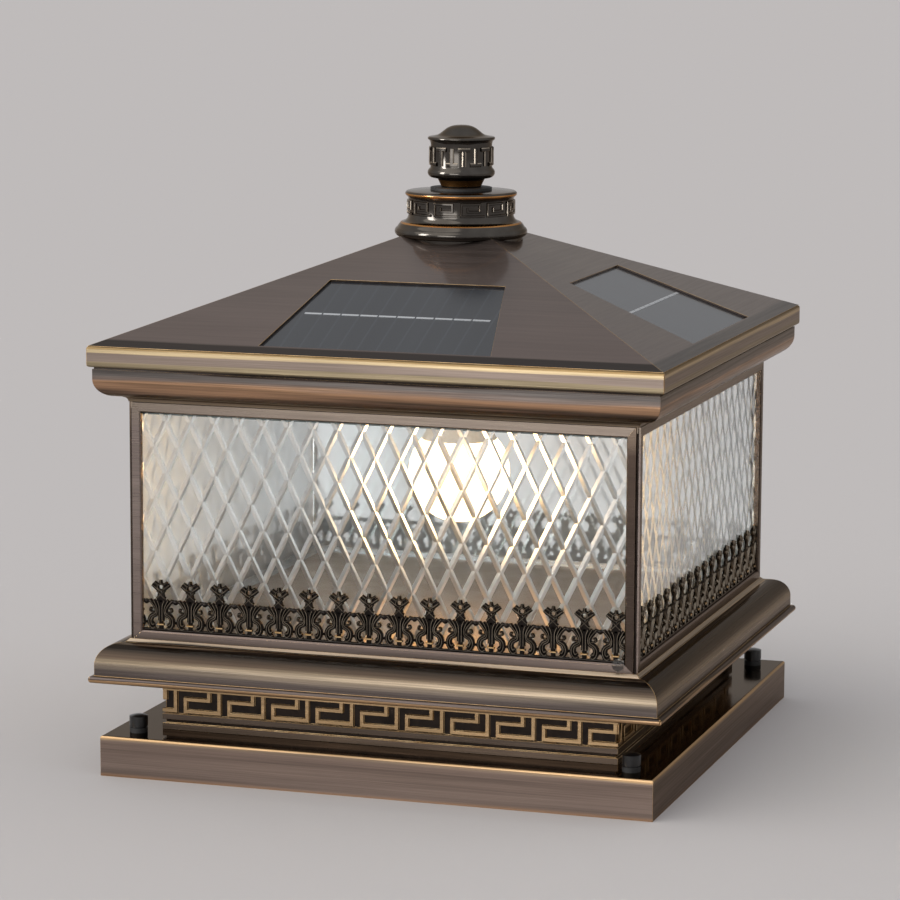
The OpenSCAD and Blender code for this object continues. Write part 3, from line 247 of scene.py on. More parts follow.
makeFloor(studio)
makeCards(studio)
makeWorld(studio)
makeSky(studio)
lowLamps = [makePanel(studio, name) for name in ("panel", "strip")]
bpy.context.scene.view_settings.view_transform = "Standard"
print("studio made")


# Finishes

def brushedCoordinates(tree, lineLength, lineWidth):
    # object coordinates along each bar, x on the front and back and y at the sides, in scratches
    place = add(tree, "TexCoord").outputs["Object"]
    part = add(tree, "SeparateXYZ", {0: place})
    reachX = add(tree, "Math", {0: part.outputs[0]}, operation="ABSOLUTE")
    reachY = add(tree, "Math", {0: part.outputs[1]}, operation="ABSOLUTE")
    sideOn = add(tree, "Math", {0: reachX.outputs[0], 1: reachY.outputs[0]}, operation="GREATER_THAN")
    x, y, z = part.outputs
    along = add(tree, "Mix", {0: sideOn.outputs[0], 2: x, 3: y}, data_type="FLOAT")
    across = add(tree, "Mix", {0: sideOn.outputs[0], 2: y, 3: x}, data_type="FLOAT")
    placed = add(tree, "CombineXYZ", {0: along.outputs[0], 1: across.outputs[0], 2: z})
    scale = (1 / lineLength, 1 / lineWidth, 1 / lineWidth)
    return add(tree, "VectorMath", {0: placed.outputs[0], 1: scale}, operation="MULTIPLY").outputs[0]


# Antique bronze: sheet that is plated, blackened, rubbed along each bar and lacquered, so it shines
# softly in long streaks. "tones" follow a piece upwards, in mm over its foot: dark bands, brass and copper
# where the rubbing bites, grey brown between; some dark and pale bands are painted shade and painted
# highlight, noted at each finish. "length" and "width" are a scratch's, drawn wider than a real one so
# that it shows, and "wander" is how far a tone's border strays.
bronzeFinishes = {
    # the pale bands at the bottom and near the top are painted highlights of the fascia's rounded edges
    "fasciaBronze": {
        "piece": "fascia", "rough": 0.33, "streak": 0.2, "length": 70 * mm, "width": 0.55 * mm,
        "wander": 0.5 * mm,
        "tones": [(0.2, "#94866d"), (0.9, "#82755e"), (3.0, "#82755e"), (3.7, "#7a6d64"), (7.2, "#7a6d64"),
                  (8.0, "#b5a17f"), (9.0, "#c0ab87"), (9.7, "#86704d"), (10.8, "#75603f")]},
    # the near-black top is painted shade under the fascia, the grey bands below it a painted reflection, and
    # the orange belly rubbed copper
    "eaveBronze": {
        "piece": "eave_moulding", "rough": 0.33, "streak": 0.3, "length": 60 * mm, "width": 0.7 * mm,
        "wander": 1.6 * mm,
        "tones": [(0.0, "#6b5d4d"), (3.0, "#6b5d4d"), (4.6, "#53453b"), (6.8, "#6b584b"), (8.6, "#98785f"),
                  (11.4, "#a78366"), (13.2, "#6c5e56"), (15.6, "#55504d"), (17.2, "#56504c"),
                  (18.0, "#342b27"), (18.6, "#1c1714")]},
    # the near-black band over the shoulder's top is painted shade, and the golden band on the foot lip a
    # painted highlight
    "skirtBronze": {
        "piece": "skirt_moulding", "rough": 0.31, "streak": 0.26, "length": 70 * mm, "width": 0.7 * mm,
        "wander": 0.9 * mm,
        "tones": [(0.0, "#6d543e"), (0.7, "#a08160"), (2.3, "#a08160"), (2.8, "#241d18"), (3.4, "#4f4643"),
                  (6.6, "#5c534e"), (8.4, "#7d7165"), (11.0, "#80725f"), (14.2, "#463a30"),
                  (17.6, "#27211c"), (19.6, "#241e1a"), (20.1, "#1a1513"), (20.5, "#a2927f"),
                  (21.7, "#a2927f")]},
    # the pale band along the top edge is a painted highlight
    "trayBronze": {
        "piece": "base_tray", "rough": 0.34, "streak": 0.2, "length": 80 * mm, "width": 0.55 * mm,
        "wander": 0.5 * mm,
        "tones": [(0.0, "#8a6a50"), (1.2, "#7f6857"), (2.0, "#6f6159"), (18.6, "#726259"),
                  (19.6, "#8c7a68"), (20.4, "#b8976f"), (21.4, "#b8976f")]},
    "boardBronze": {
        "piece": "neck_boards", "rough": 0.3, "streak": 0.22, "length": 40 * mm, "width": 0.6 * mm,
        "wander": 0.3 * mm,
        "tones": [(0.0, "#4a4037"), (4.0, "#5d5148"), (8.4, "#544940"), (9.4, "#a58966"), (22.0, "#a58966"),
                  (28.9, "#8a7058")]},
    "frameBronze": {
        "piece": "frame_front", "rough": 0.3, "streak": 0.12, "length": 50 * mm, "width": 0.9 * mm,
        "wander": 0.6 * mm,
        "tones": [(0.0, "#544a44"), (4.0, "#70635d"), (60.0, "#786c66"), (112.0, "#6d625d"),
                  (124.5, "#7d7166")]},
    # the near-black band at the eaves is a painted shadow of the seam over the fascia
    "roofBronze": {
        "piece": "roof_shell", "rough": 0.36, "streak": 0.05, "length": 60 * mm, "width": 2.0 * mm,
        "wander": 0.2 * mm, "lacquer": 0.5,
        "tones": [(0.0, "#1d1512"), (2.75, "#1d1512"), (3.3, "#6a5e5a"), (30.0, "#6b615d"),
                  (63.0, "#645a55")]},
    # painted shade: the darker tone of the right-hand stile of each frame
    "stilePaintedShade": {
        "piece": "frame_front", "rough": 0.3, "streak": 0.12, "length": 50 * mm, "width": 0.9 * mm,
        "wander": 0.6 * mm,
        "tones": [(0.0, "#332a25"), (20.0, "#3a302a"), (110.0, "#40352e"), (124.5, "#6a5c50")]},
}
brushing = {
    "broadLength": 2.5,       # the broad streaks' length, in scratches
    "broadWidth": 6,
    "contrast": 1.6,          # what "streak" is taken times
    "bothSpan": (0.7, 1.3),   # where most sums of the fine and the broad noise lie
    "roughSpread": 0.06,      # over and under "rough"
    "deep": 0.02 * mm,        # a scratch's depth
    "sheen": 0.65,            # how far the shine spreads across the scratches
    "turn": 0.25,             # of a whole turn, from along the scratches to across
}
lacquer = {
    "weight": 0.2,            # how much of a clear gloss lies over the metal
    "rough": 0.1,
    "edge": "#c8bcb0",        # the metal's tint where it is seen at a low angle
}
noiseSpan = (0.3, 0.7)        # where most of a noise texture's values lie


def bronzeFinish(name, s):
    b = brushing
    least, most = noiseSpan
    material, tree = newMaterial(name)
    scratches = brushedCoordinates(tree, s["length"], s["width"])
    streaks = brushedCoordinates(tree, b["broadLength"] * s["length"], b["broadWidth"] * s["width"])
    fine = add(tree, "TexNoise", {"Vector": scratches, "Scale": 1.0, "Detail": 3.0, "Roughness": 0.6})
    broad = add(tree, "TexNoise", {"Vector": streaks, "Scale": 1.0, "Detail": 2.0})
    low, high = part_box(s["piece"])
    rise = (high.z - low.z) / mm
    place = add(tree, "SeparateXYZ", {0: add(tree, "TexCoord").outputs["Object"]})
    stray = add(tree, "MapRange", {
        0: broad.outputs[0], 1: least, 2: most, 3: -s["wander"], 4: s["wander"]}, clamp=False)
    height = add(tree, "Math", {0: place.outputs[2], 1: stray.outputs[0]}, operation="ADD")
    level = add(tree, "MapRange", {0: height.outputs[0], 1: low.z, 2: high.z})
    ramp = add(tree, "ValToRGB", {0: level.outputs[0]})
    steps = ramp.color_ramp.elements
    for i, (up, code) in enumerate(s["tones"]):
        step = steps[i] if i < 2 else steps.new(1.0)
        step.position = min(up / rise, 1.0)
        step.color = linear(code)
    both = add(tree, "Math", {0: fine.outputs[0], 1: broad.outputs[0]}, operation="ADD")
    swing = b["contrast"] * s["streak"]
    rub = add(tree, "MapRange", {
        0: both.outputs[0], 1: b["bothSpan"][0], 2: b["bothSpan"][1], 3: 1 - swing, 4: 1 + swing})
    colour = add(tree, "VectorMath", {0: ramp.outputs[0], 1: rub.outputs[0]}, operation="MULTIPLY")
    rough = add(tree, "MapRange", {
        0: fine.outputs[0], 1: least, 2: most, 3: s["rough"] + b["roughSpread"],
        4: s["rough"] - b["roughSpread"]})
    bump = add(tree, "Bump", {"Strength": 1.0, "Distance": b["deep"], "Height": fine.outputs[0]})
    shader = add(tree, "BsdfPrincipled", {
        "Base Color": colour.outputs[0], "Metallic": 1.0, "Roughness": rough.outputs[0],
        "Anisotropic": b["sheen"], "Anisotropic Rotation": b["turn"],
        "Coat Weight": s.get("lacquer", lacquer["weight"]), "Coat Roughness": lacquer["rough"],
        "Specular Tint": linear(lacquer["edge"]), "Normal": bump.outputs[0]})
    add(tree, "OutputMaterial", {"Surface": shader.outputs[0]})
    return material


# Bronze of one tone under the same lacquer: "grain" is the size of its clouds and "bump" their height
castFinishes = {
    # the tray's top, polished: its near-black colour is a painted dark reflection of the neck and skirt above
    # it, and its gloss mirrors them faintly too
    "glossPaintedReflection": {
        "colour": "#221c19", "other": "#2d2622", "rough": 0.1, "grain": 30 * mm, "bump": 0.004 * mm},
    # cast and left black in the recesses, where it is dull and makes the keys stand out
    "darkPatina": {
        "colour": "#1c1714", "other": "#2e2621", "rough": 0.32, "grain": 6 * mm, "bump": 0.02 * mm},
    # an arris that a cloth has worn through to brass, painted pale as well as an edge highlight: a thin
    # bright line along each bar
    "rubbedEdgeAndHighlight": {
        "colour": "#b08a58", "other": "#dcc094", "rough": 0.26, "grain": 9 * mm, "bump": 0.005 * mm},
    # turned smooth and blackened: the finial's dark body, with clear reflections
    "finialBronze": {
        "colour": "#403c38", "other": "#4f4b46", "rough": 0.14, "grain": 9 * mm, "bump": 0.002 * mm},
    # keys cast on the finial: a pale grey painted on their sloping sides as highlight
    "reliefHighlight": {
        "colour": "#a2988a", "other": "#7d7367", "rough": 0.22, "grain": 4 * mm, "bump": 0.01 * mm},
    # copper plate laid bare on the finial's turned rings: warm thin lines; on the knob's neck cone the same
    # copper is a painted reflection
    "copperLineAndReflection": {
        "colour": "#a06c38", "other": "#c28c50", "rough": 0.24, "grain": 9 * mm, "bump": 0.002 * mm},
    # the crests of the cast scrolls: rubbed, and painted pale as the highlight that draws their outlines
    "rubbedRidgeAndHighlight": {
        "colour": "#8c8172", "other": "#665d51", "rough": 0.22, "grain": 4 * mm, "bump": 0.01 * mm},
    # the scrolls' own cast metal, nearly black before the pane
    "galleryBronze": {
        "colour": "#120e0b", "other": "#1f1a16", "rough": 0.26, "grain": 5 * mm, "bump": 0.02 * mm},
    # plain rolled sheet inside the chamber: dull and pale through the glass
    "panBronze": {
        "colour": "#8f8172", "other": "#a09283", "rough": 0.45, "grain": 20 * mm, "bump": 0.01 * mm},
}
castRoughSpread = 0.05        # over and under "rough"


def castFinish(name, s):
    least, most = noiseSpan
    material, tree = newMaterial(name)
    place = add(tree, "TexCoord").outputs["Object"]
    grain = add(tree, "TexNoise", {"Vector": place, "Scale": 1 / s["grain"], "Detail": 3.0})
    tone = add(tree, "MapRange", {0: grain.outputs[0], 1: least, 2: most})
    colour = add(tree, "Mix", {
        0: tone.outputs[0], 6: linear(s["colour"]), 7: linear(s["other"])}, data_type="RGBA")
    rough = add(tree, "MapRange", {
        0: grain.outputs[0], 1: least, 2: most, 3: s["rough"] + castRoughSpread,
        4: s["rough"] - castRoughSpread})
    bump = add(tree, "Bump", {"Strength": 1.0, "Distance": s["bump"], "Height": grain.outputs[0]})
    shader = add(tree, "BsdfPrincipled", {
        "Base Color": colour.outputs[2], "Metallic": 1.0, "Roughness": rough.outputs[0],
        "Coat Weight": lacquer["weight"], "Coat Roughness": lacquer["rough"],
        "Specular Tint": linear(lacquer["edge"]), "Normal": bump.outputs[0]})
    add(tree, "OutputMaterial", {"Surface": shader.outputs[0]})
    return material


# Moulded, coated and glazed pieces: "grain" is the size of their unevenness and "bump" its height
plainFinishes = {
    # moulded rubber, foam and the wires' sheaths: dull black
    "blackRubber": {
        "colour": "#151413", "other": "#1f1d1c", "rough": 0.6, "grain": 0.8 * mm, "bump": 0.04 * mm},
    # moulded ABS with a fine texture: black, with a soft highlight on each cap nut
    "blackPlastic": {
        "colour": "#0f0e0e", "other": "#1a1818", "rough": 0.28, "grain": 0.9 * mm, "bump": 0.03 * mm},
    # powder coat sprayed on sheet and baked: satin white with a slight orange peel
    "whitePowderCoat": {
        "colour": "#dcdad3", "other": "#e6e4de", "rough": 0.45, "grain": 0.9 * mm, "bump": 0.03 * mm},
    # porcelain, pressed and glazed: creamy and smooth
    "glazedCeramic": {
        "colour": "#e8e5da", "other": "#f0ede4", "rough": 0.2, "grain": 4 * mm, "bump": 0.02 * mm},
    # moulded polycarbonate of the bulb's housing: satin and nearly white
    "bulbPlastic": {
        "colour": "#e9e7e0", "other": "#f1efe9", "rough": 0.35, "grain": 2 * mm, "bump": 0.01 * mm},
    # PVC film shrunk on the rechargeable cells: blue with a soft shine
    "cellSleeve": {
        "colour": "#2c4c86", "other": "#345795", "rough": 0.3, "grain": 6 * mm, "bump": 0.02 * mm},
    # solder mask printed on glass fibre: deep green, faintly woven
    "circuitBoard": {
        "colour": "#0f3a1f", "other": "#15482a", "rough": 0.35, "grain": 2 * mm, "bump": 0.03 * mm},
    # moulded epoxy of the parts on the board: dark grey and matt
    "componentBlack": {
        "colour": "#1c1c1f", "other": "#2b2b2f", "rough": 0.4, "grain": 1 * mm, "bump": 0.02 * mm},
    # moulded nylon of the switch's cap: plain red
    "redButton": {
        "colour": "#a01410", "other": "#b01a14", "rough": 0.3, "grain": 1 * mm, "bump": 0.02 * mm},
}
plainSpan = (0.35, 0.65)      # narrower than noiseSpan, so the two colours part more clearly


def plainFinish(name, s):
    material, tree = newMaterial(name)
    place = add(tree, "TexCoord").outputs["Object"]
    grain = add(tree, "TexNoise", {"Vector": place, "Scale": 1 / s["grain"], "Detail": 3.0})
    tone = add(tree, "MapRange", {0: grain.outputs[0], 1: plainSpan[0], 2: plainSpan[1]})
    colour = add(tree, "Mix", {
        0: tone.outputs[0], 6: linear(s["colour"]), 7: linear(s["other"])}, data_type="RGBA")
    bump = add(tree, "Bump", {"Strength": 1.0, "Distance": s["bump"], "Height": grain.outputs[0]})
    shader = add(tree, "BsdfPrincipled", {
        "Base Color": colour.outputs[2], "Roughness": s["rough"], "Normal": bump.outputs[0]})
    add(tree, "OutputMaterial", {"Surface": shader.outputs[0]})
    return material


# Plated metals, bright under faint clouds
metalFinishes = {
    # steel, zinc plated: silver grey and rather dull
    "zincSteel": {"colour": "#b9bbbc", "other": "#9c9fa1", "rough": 0.35, "grain": 3 * mm},
    # flat copper wire, dipped in tin: the near white line across the dark cells
    "tinnedRibbon": {"colour": "#d4d6d8", "other": "#bfc2c5", "rough": 0.25, "grain": 1.5 * mm},
    # brass shell, nickel plated: warmer and smoother
    "nickelCap": {"colour": "#c9c7c0", "other": "#b5b2aa", "rough": 0.22, "grain": 4 * mm},
}
metalRoughSpread = (-0.05, 0.08)    # under and over "rough"


def metalFinish(name, s):
    least, most = noiseSpan
    smoother, rougher = metalRoughSpread
    material, tree = newMaterial(name)
    place = add(tree, "TexCoord").outputs["Object"]
    grain = add(tree, "TexNoise", {"Vector": place, "Scale": 1 / s["grain"], "Detail": 3.0})
    colour = add(tree, "Mix", {
        0: grain.outputs[0], 6: linear(s["colour"]), 7: linear(s["other"])}, data_type="RGBA")
    rough = add(tree, "MapRange", {
        0: grain.outputs[0], 1: least, 2: most, 3: s["rough"] + smoother, 4: s["rough"] + rougher})
    shader = add(tree, "BsdfPrincipled", {
        "Base Color": colour.outputs[2], "Metallic": 1.0, "Roughness": rough.outputs[0]})
    add(tree, "OutputMaterial", {"Surface": shader.outputs[0]})
    return material


# Diamond cut soda glass: fire polished faces that are clear, and ground cuts that spread the lamp's light.
# A pane that is seen through another one shows softly, with its cuts blurred.
cutGlass = {
    "colour": "#f5f8fa",
    "polished": 0.02,         # roughness of the pane's own faces
    "ground": 0.28,           # roughness of the cuts
    "squareOn": (0.97, 0.99), # cosines to the pane's face, where ground turns to polished
    "farPane": 0.45,          # roughness of a pane behind another one
    "nearDepth": 1.5,         # surfaces that a ray has met, between a near pane and a far one
    "index": 1.5,
    "shade": "#e6ece9",       # what a pane takes out of the lamp's light
    "diamondWide": 13.52,     # mm
    "diamondTall": 27.52,
    "cutWide": 3.2,           # mm across a V cut
    "cutDeep": 0.85,
    "crossingSide": 10.5,     # mm beside the pane's middle, where two cuts cross
    "crossingHigh": 46.7,     # mm above the pane's foot
    "halvesAside": 24,        # half diamonds laid out to each side of there, past the pane's edges
    "halvesAbove": 8,
    "weld": 0.001 * mm,
}


def glassFinish(name, s):
    material, tree = newMaterial(name)
    facing = add(tree, "SeparateXYZ", {0: add(tree, "TexCoord").outputs["Normal"]})
    faceX = add(tree, "Math", {0: facing.outputs[0]}, operation="ABSOLUTE")
    faceY = add(tree, "Math", {0: facing.outputs[1]}, operation="ABSOLUTE")
    square = add(tree, "Math", {0: faceX.outputs[0], 1: faceY.outputs[0]}, operation="MAXIMUM")
    near = add(tree, "MapRange", {
        0: square.outputs[0], 1: s["squareOn"][0], 2: s["squareOn"][1], 3: s["ground"], 4: s["polished"]})
    path = add(tree, "LightPath").outputs
    behind = add(tree, "Math", {0: path["Ray Depth"], 1: s["nearDepth"]}, operation="GREATER_THAN")
    rough = add(tree, "Mix", {0: behind.outputs[0], 2: near.outputs[0], 3: s["farPane"]}, data_type="FLOAT")
    glass = add(tree, "BsdfPrincipled", {
        "Base Color": linear(s["colour"]), "Roughness": rough.outputs[0], "IOR": s["index"],
        "Transmission Weight": 1.0})
    clear = add(tree, "BsdfTransparent", {"Color": linear(s["shade"])})
    both = add(tree, "MixShader", {0: path["Is Shadow Ray"], 1: glass.outputs[0], 2: clear.outputs[0]})
    add(tree, "OutputMaterial", {"Surface": both.outputs[0]})
    return material


# The lit globe: blown opal glass round warm white diodes, which hides them and glows evenly
litGlobe = {
    "colour": "#fff4dc",
    "other": "#fff8ea",
    "grain": 12 * mm,
    "rough": 0.35,
    "glow": "#ffcc8c",
    "strength": 10.0,
}


def globeFinish(name, s):
    material, tree = newMaterial(name)
    place = add(tree, "TexCoord").outputs["Object"]
    grain = add(tree, "TexNoise", {"Vector": place, "Scale": 1 / s["grain"], "Detail": 2.0})
    colour = add(tree, "Mix", {
        0: grain.outputs[0], 6: linear(s["colour"]), 7: linear(s["other"])}, data_type="RGBA")
    shader = add(tree, "BsdfPrincipled", {
        "Base Color": colour.outputs[2], "Roughness": s["rough"], "Emission Color": linear(s["glow"]),
        "Emission Strength": s["strength"]})
    add(tree, "OutputMaterial", {"Surface": shader.outputs[0]})
    return material


# Silicon cells cast in clear resin: slate blue with fine paler fingers, under a soft shine
solarCell = {
    "cell": "#1b1e23",
    "other": "#24282e",
    "line": "#2f343b",
    "pitch": 10.3 * mm,       # from finger to finger, which real cells have closer than the render shows
    "lineShare": 0.06,        # of the pitch
    "rough": 0.16,
    "index": 1.5,             # the resin's
}


def solarFinish(name, s):
    material, tree = newMaterial(name)
    place = brushedCoordinates(tree, s["pitch"], 1.0)
    part = add(tree, "SeparateXYZ", {0: place})
    step = add(tree, "Math", {0: part.outputs[0]}, operation="FRACT")
    seam = add(tree, "Math", {0: step.outputs[0], 1: s["lineShare"]}, operation="LESS_THAN")
    tone = add(tree, "TexNoise", {"Vector": place, "Scale": 1.0, "Detail": 1.0})
    cell = add(tree, "Mix", {
        0: tone.outputs[0], 6: linear(s["cell"]), 7: linear(s["other"])}, data_type="RGBA")
    colour = add(tree, "Mix", {
        0: seam.outputs[0], 6: cell.outputs[2], 7: linear(s["line"])}, data_type="RGBA")
    shader = add(tree, "BsdfPrincipled", {
        "Base Color": colour.outputs[2], "Roughness": s["rough"], "IOR": s["index"]})
    add(tree, "OutputMaterial", {"Surface": shader.outputs[0]})
    return material


# Cast acrylic, polished: the stud on the front frame is clear, with small bright glints
clearAcrylic = {"colour": "#f4f6f6", "shade": "#f0f2f2", "rough": 0.04, "index": 1.49}


def acrylicFinish(name, s):
    material, tree = newMaterial(name)
    glass = add(tree, "BsdfPrincipled", {
        "Base Color": linear(s["colour"]), "Roughness": s["rough"], "IOR": s["index"],
        "Transmission Weight": 1.0})
    clear = add(tree, "BsdfTransparent", {"Color": linear(s["shade"])})
    lampRay = add(tree, "LightPath").outputs["Is Shadow Ray"]
    both = add(tree, "MixShader", {0: lampRay, 1: glass.outputs[0], 2: clear.outputs[0]})
    add(tree, "OutputMaterial", {"Surface": both.outputs[0]})
    return material


finish = {name: bronzeFinish(name, s) for name, s in bronzeFinishes.items()}
finish.update({name: castFinish(name, s) for name, s in castFinishes.items()})
finish.update({name: plainFinish(name, s) for name, s in plainFinishes.items()})
finish.update({name: metalFinish(name, s) for name, s in metalFinishes.items()})
finish["cutGlass"] = glassFinish("cutGlass", cutGlass)
finish["litGlobe"] = globeFinish("litGlobe", litGlobe)
finish["solarCell"] = solarFinish("solarCell", solarCell)
finish["clearAcrylic"] = acrylicFinish("clearAcrylic", clearAcrylic)
print("finishes mixed:", len(finish))


# Nodes that keep their own mesh and take a finish

plainNodes = {
    "zincSteel": ["mounting_plate", "fixing_studs", "neck_posts", "glass_retainers", "panel_cleats",
                  "finial_rod", "apex_block", "apex_nut", "roof_screws", "board_posts"],
    "blackRubber": ["nut_washers", "roof_gasket", "knob_washer", "leads"],
    "blackPlastic": ["panel_junctions", "battery_box", "battery_lid", "switch_housing",
                     "cap_nut_front_left", "cap_nut_front_right", "cap_nut_back_right", "cap_nut_back_left"],
    "panBronze": ["floor_pan", "chamber_ring"],
    "darkPatina": ["corner_posts"],
    "clearAcrylic": ["clear_stud"],
    "solarCell": ["solar_front", "solar_right", "solar_back", "solar_left"],
    "tinnedRibbon": ["solar_ribbons"],
    "whitePowderCoat": ["ceiling_plate"],
    "glazedCeramic": ["lamp_holder"],
    "cellSleeve": ["battery_cells"],
    "circuitBoard": ["control_board"],
    "componentBlack": ["board_parts"],
    "litGlobe": ["bulb_globe"],
    "bulbPlastic": ["bulb_body"],
    "nickelCap": ["bulb_cap"],
    "redButton": ["power_button"],
}
for name, members in plainNodes.items():
    for member in members:
        mesh = nodes[member].data
        mesh.materials.clear()
        mesh.materials.append(finish[name])
print("plain nodes finished")


def ownPiece(mesh, name):
    piece = bpy.data.objects.new(mesh.name, mesh)
    bpy.context.scene.collection.objects.link(piece)
    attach(piece, bodyOf[name])
    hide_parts(name)
    return piece


# Sheet and cast pieces: the node's shape with eased edges, rubbed through to brass and painted pale as edge
# highlights

easing = {
    "weld": 0.002 * mm,
    "level": 0.5,             # degrees between faces that are one flat
    "steps": 2,               # facets of an eased edge
    "upright": 0.9,           # the least upward share of a normal on the tray's top
    "keyDeep": 0.8 * mm,      # behind the boards' face, where the ground between the keys begins
}


def easedCopy(name, width, main, edge, angle=35.0, sort=None, extra=()):
    work = bmesh.new()
    work.from_mesh(nodes[name].data)
    bmesh.ops.remove_doubles(work, verts=work.verts, dist=easing["weld"])
    flat = math.radians(easing["level"])
    bmesh.ops.dissolve_limit(work, angle_limit=flat, verts=work.verts, edges=work.edges)
    mesh = bpy.data.meshes.new(name + "_eased")
    work.to_mesh(mesh)
    work.free()
    for material in (finish[main], finish[edge], *[finish[e] for e in extra]):
        mesh.materials.append(material)
    if sort:
        normals = np.empty(len(mesh.polygons) * 3)
        centres = np.empty(len(mesh.polygons) * 3)
        mesh.polygons.foreach_get("normal", normals)
        mesh.polygons.foreach_get("center", centres)
        index = sort(centres.reshape(-1, 3), normals.reshape(-1, 3))
        mesh.polygons.foreach_set("material_index", index.astype(np.int32))
    piece = ownPiece(mesh, name)
    bevel = piece.modifiers.new("easedEdges", "BEVEL")
    bevel.width = width
    bevel.segments = easing["steps"]
    bevel.limit_method = "ANGLE"
    bevel.angle_limit = math.radians(angle)
    bevel.material = 1
    mesh.shade_flat()


# the tray's upward faces, which take the near-black of the painted dark reflection
def topTakesPaintedReflection(centres, normals):
    return np.where(normals[:, 2] > easing["upright"], 2, 0)


def recessIsThird(centres, normals):
    reach = np.abs(centres[:, :2]).max(1)
    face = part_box("neck_boards")[1].x
    return np.where(reach < face - easing["keyDeep"], 2, 0)


def rightStileIsPaintedShade(k, centres, normals):
    # the stile at the right hand of who looks at the frame takes a darker tone: painted shade
    turn = math.radians(90 * k)
    side = centres[:, 0] * math.cos(turn) + centres[:, 1] * math.sin(turn)
    return np.where(side > windowHalf, 2, 0)


# "width" is how wide an edge is eased, and "sort" gives the faces of the third finish
easedPieces = {
    "base_tray": {
        "width": 0.45 * mm, "main": "trayBronze", "edge": "rubbedEdgeAndHighlight", "sort": topTakesPaintedReflection,
        "extra": ["glossPaintedReflection"]},
    "neck_boards": {
        "width": 0.25 * mm, "main": "boardBronze", "edge": "rubbedEdgeAndHighlight", "sort": recessIsThird,
        "extra": ["darkPatina"]},
    "skirt_moulding": {"width": 0.3 * mm, "main": "skirtBronze", "edge": "rubbedEdgeAndHighlight"},
    "eave_moulding": {"width": 0.3 * mm, "main": "eaveBronze", "edge": "rubbedEdgeAndHighlight"},
    "fascia": {"width": 0.3 * mm, "main": "fasciaBronze", "edge": "rubbedEdgeAndHighlight"},
    "roof_shell": {"width": 0.35 * mm, "main": "roofBronze", "edge": "rubbedEdgeAndHighlight", "angle": 20.0},
}
for k, side in enumerate(sides):
    easedPieces["frame_" + side] = {
        "width": 0.25 * mm, "main": "frameBronze", "edge": "rubbedEdgeAndHighlight", "extra": ["stilePaintedShade"],
        "sort": partial(rightStileIsPaintedShade, k)}
for name, s in easedPieces.items():
    easedCopy(name, **s)
print("eased pieces made:", len(easedPieces))


# Strokes and turned pieces

def arcPath(x, z, radius, start, end, count=12):
    # radius times the cosine and sine of even angles, in degrees, from the middle (x, z)
    turn = np.radians(np.linspace(start, end, count))
    return np.stack([x + radius * np.cos(turn), z + radius * np.sin(turn)], 1)


def linePath(start, end, count=3):
    # start times (1 - t) plus end times t, for even t
    t = np.linspace(0, 1, count)[:, None]
    return np.asarray(start, float) * (1 - t) + np.asarray(end, float) * t


def curvePath(points, steps=4):
    # a cubic through the points whose slope at each is half the way between its neighbours
    p = np.asarray(points, float)
    slope = np.gradient(p, axis=0)
    t = np.linspace(0, 1, steps, endpoint=False)[None, :, None]
    a, b, da, db = p[:-1, None], p[1:, None], slope[:-1, None], slope[1:, None]
    curve = ((2 * t ** 3 - 3 * t ** 2 + 1) * a + (t ** 3 - 2 * t ** 2 + t) * da
             + (3 * t ** 2 - 2 * t ** 3) * b + (t ** 3 - t ** 2) * db)
    return np.concatenate([curve.reshape(-1, 2), p[-1:]])


def gridFaces(rows, columns, closed=False):
    # quad (r, c) joins rows r and r + 1 at columns c and c + 1, where the last column meets the first,
    # and so does the last row where asked
    r = np.arange(rows if closed else rows - 1)[:, None]
    c = np.arange(columns)[None, :]
    nextRow = (r + 1) % rows * columns
    nextColumn = (c + 1) % columns
    quads = np.stack([r * columns + c, r * columns + nextColumn, nextRow + nextColumn, nextRow + c], 2)
    return quads.reshape(-1, 4)


def stroke(path, section, width, closed=False, taper=(1.0, 1.0)):
    # point (i, j) is path point i plus section point j: its offset across the path, mitred, and its height.
    # "section" rows are (offset as a share of half the width, height, finish from this point to the next)
    section = np.asarray(section, float)
    if closed:
        step = np.roll(path, -1, 0) - path
        before = np.roll(step, 1, 0)
    else:
        step = np.diff(path, axis=0)
        before = np.concatenate([step[:1], step])
        step = np.concatenate([step, step[-1:]])
    step = step / np.linalg.norm(step, axis=1)[:, None]
    before = before / np.linalg.norm(before, axis=1)[:, None]
    mitre = (step + before) / (1 + (step * before).sum(1))[:, None]
    across = np.stack([-mitre[:, 1], mitre[:, 0]], 1)
    size = np.linspace(taper[0], taper[1], len(path))[:, None] * width / 2
    flat = path[:, None, :] + across[:, None, :] * (section[None, :, 0] * size)[:, :, None]
    height = np.broadcast_to(section[None, :, 1], flat.shape[:2])
    points = np.concatenate([flat, height[:, :, None]], 2).reshape(-1, 3)
    rows, columns = len(path), len(section)
    quads = gridFaces(rows, columns, closed)
    tones = np.tile(section[:, 2].astype(int), len(quads) // columns).tolist()
    faces = [tuple(q) for q in quads.tolist()]
    if not closed:
        faces += [tuple(range(columns))[::-1], tuple(range((rows - 1) * columns, rows * columns))]
        tones += [0, 0]
    return points, faces, tones


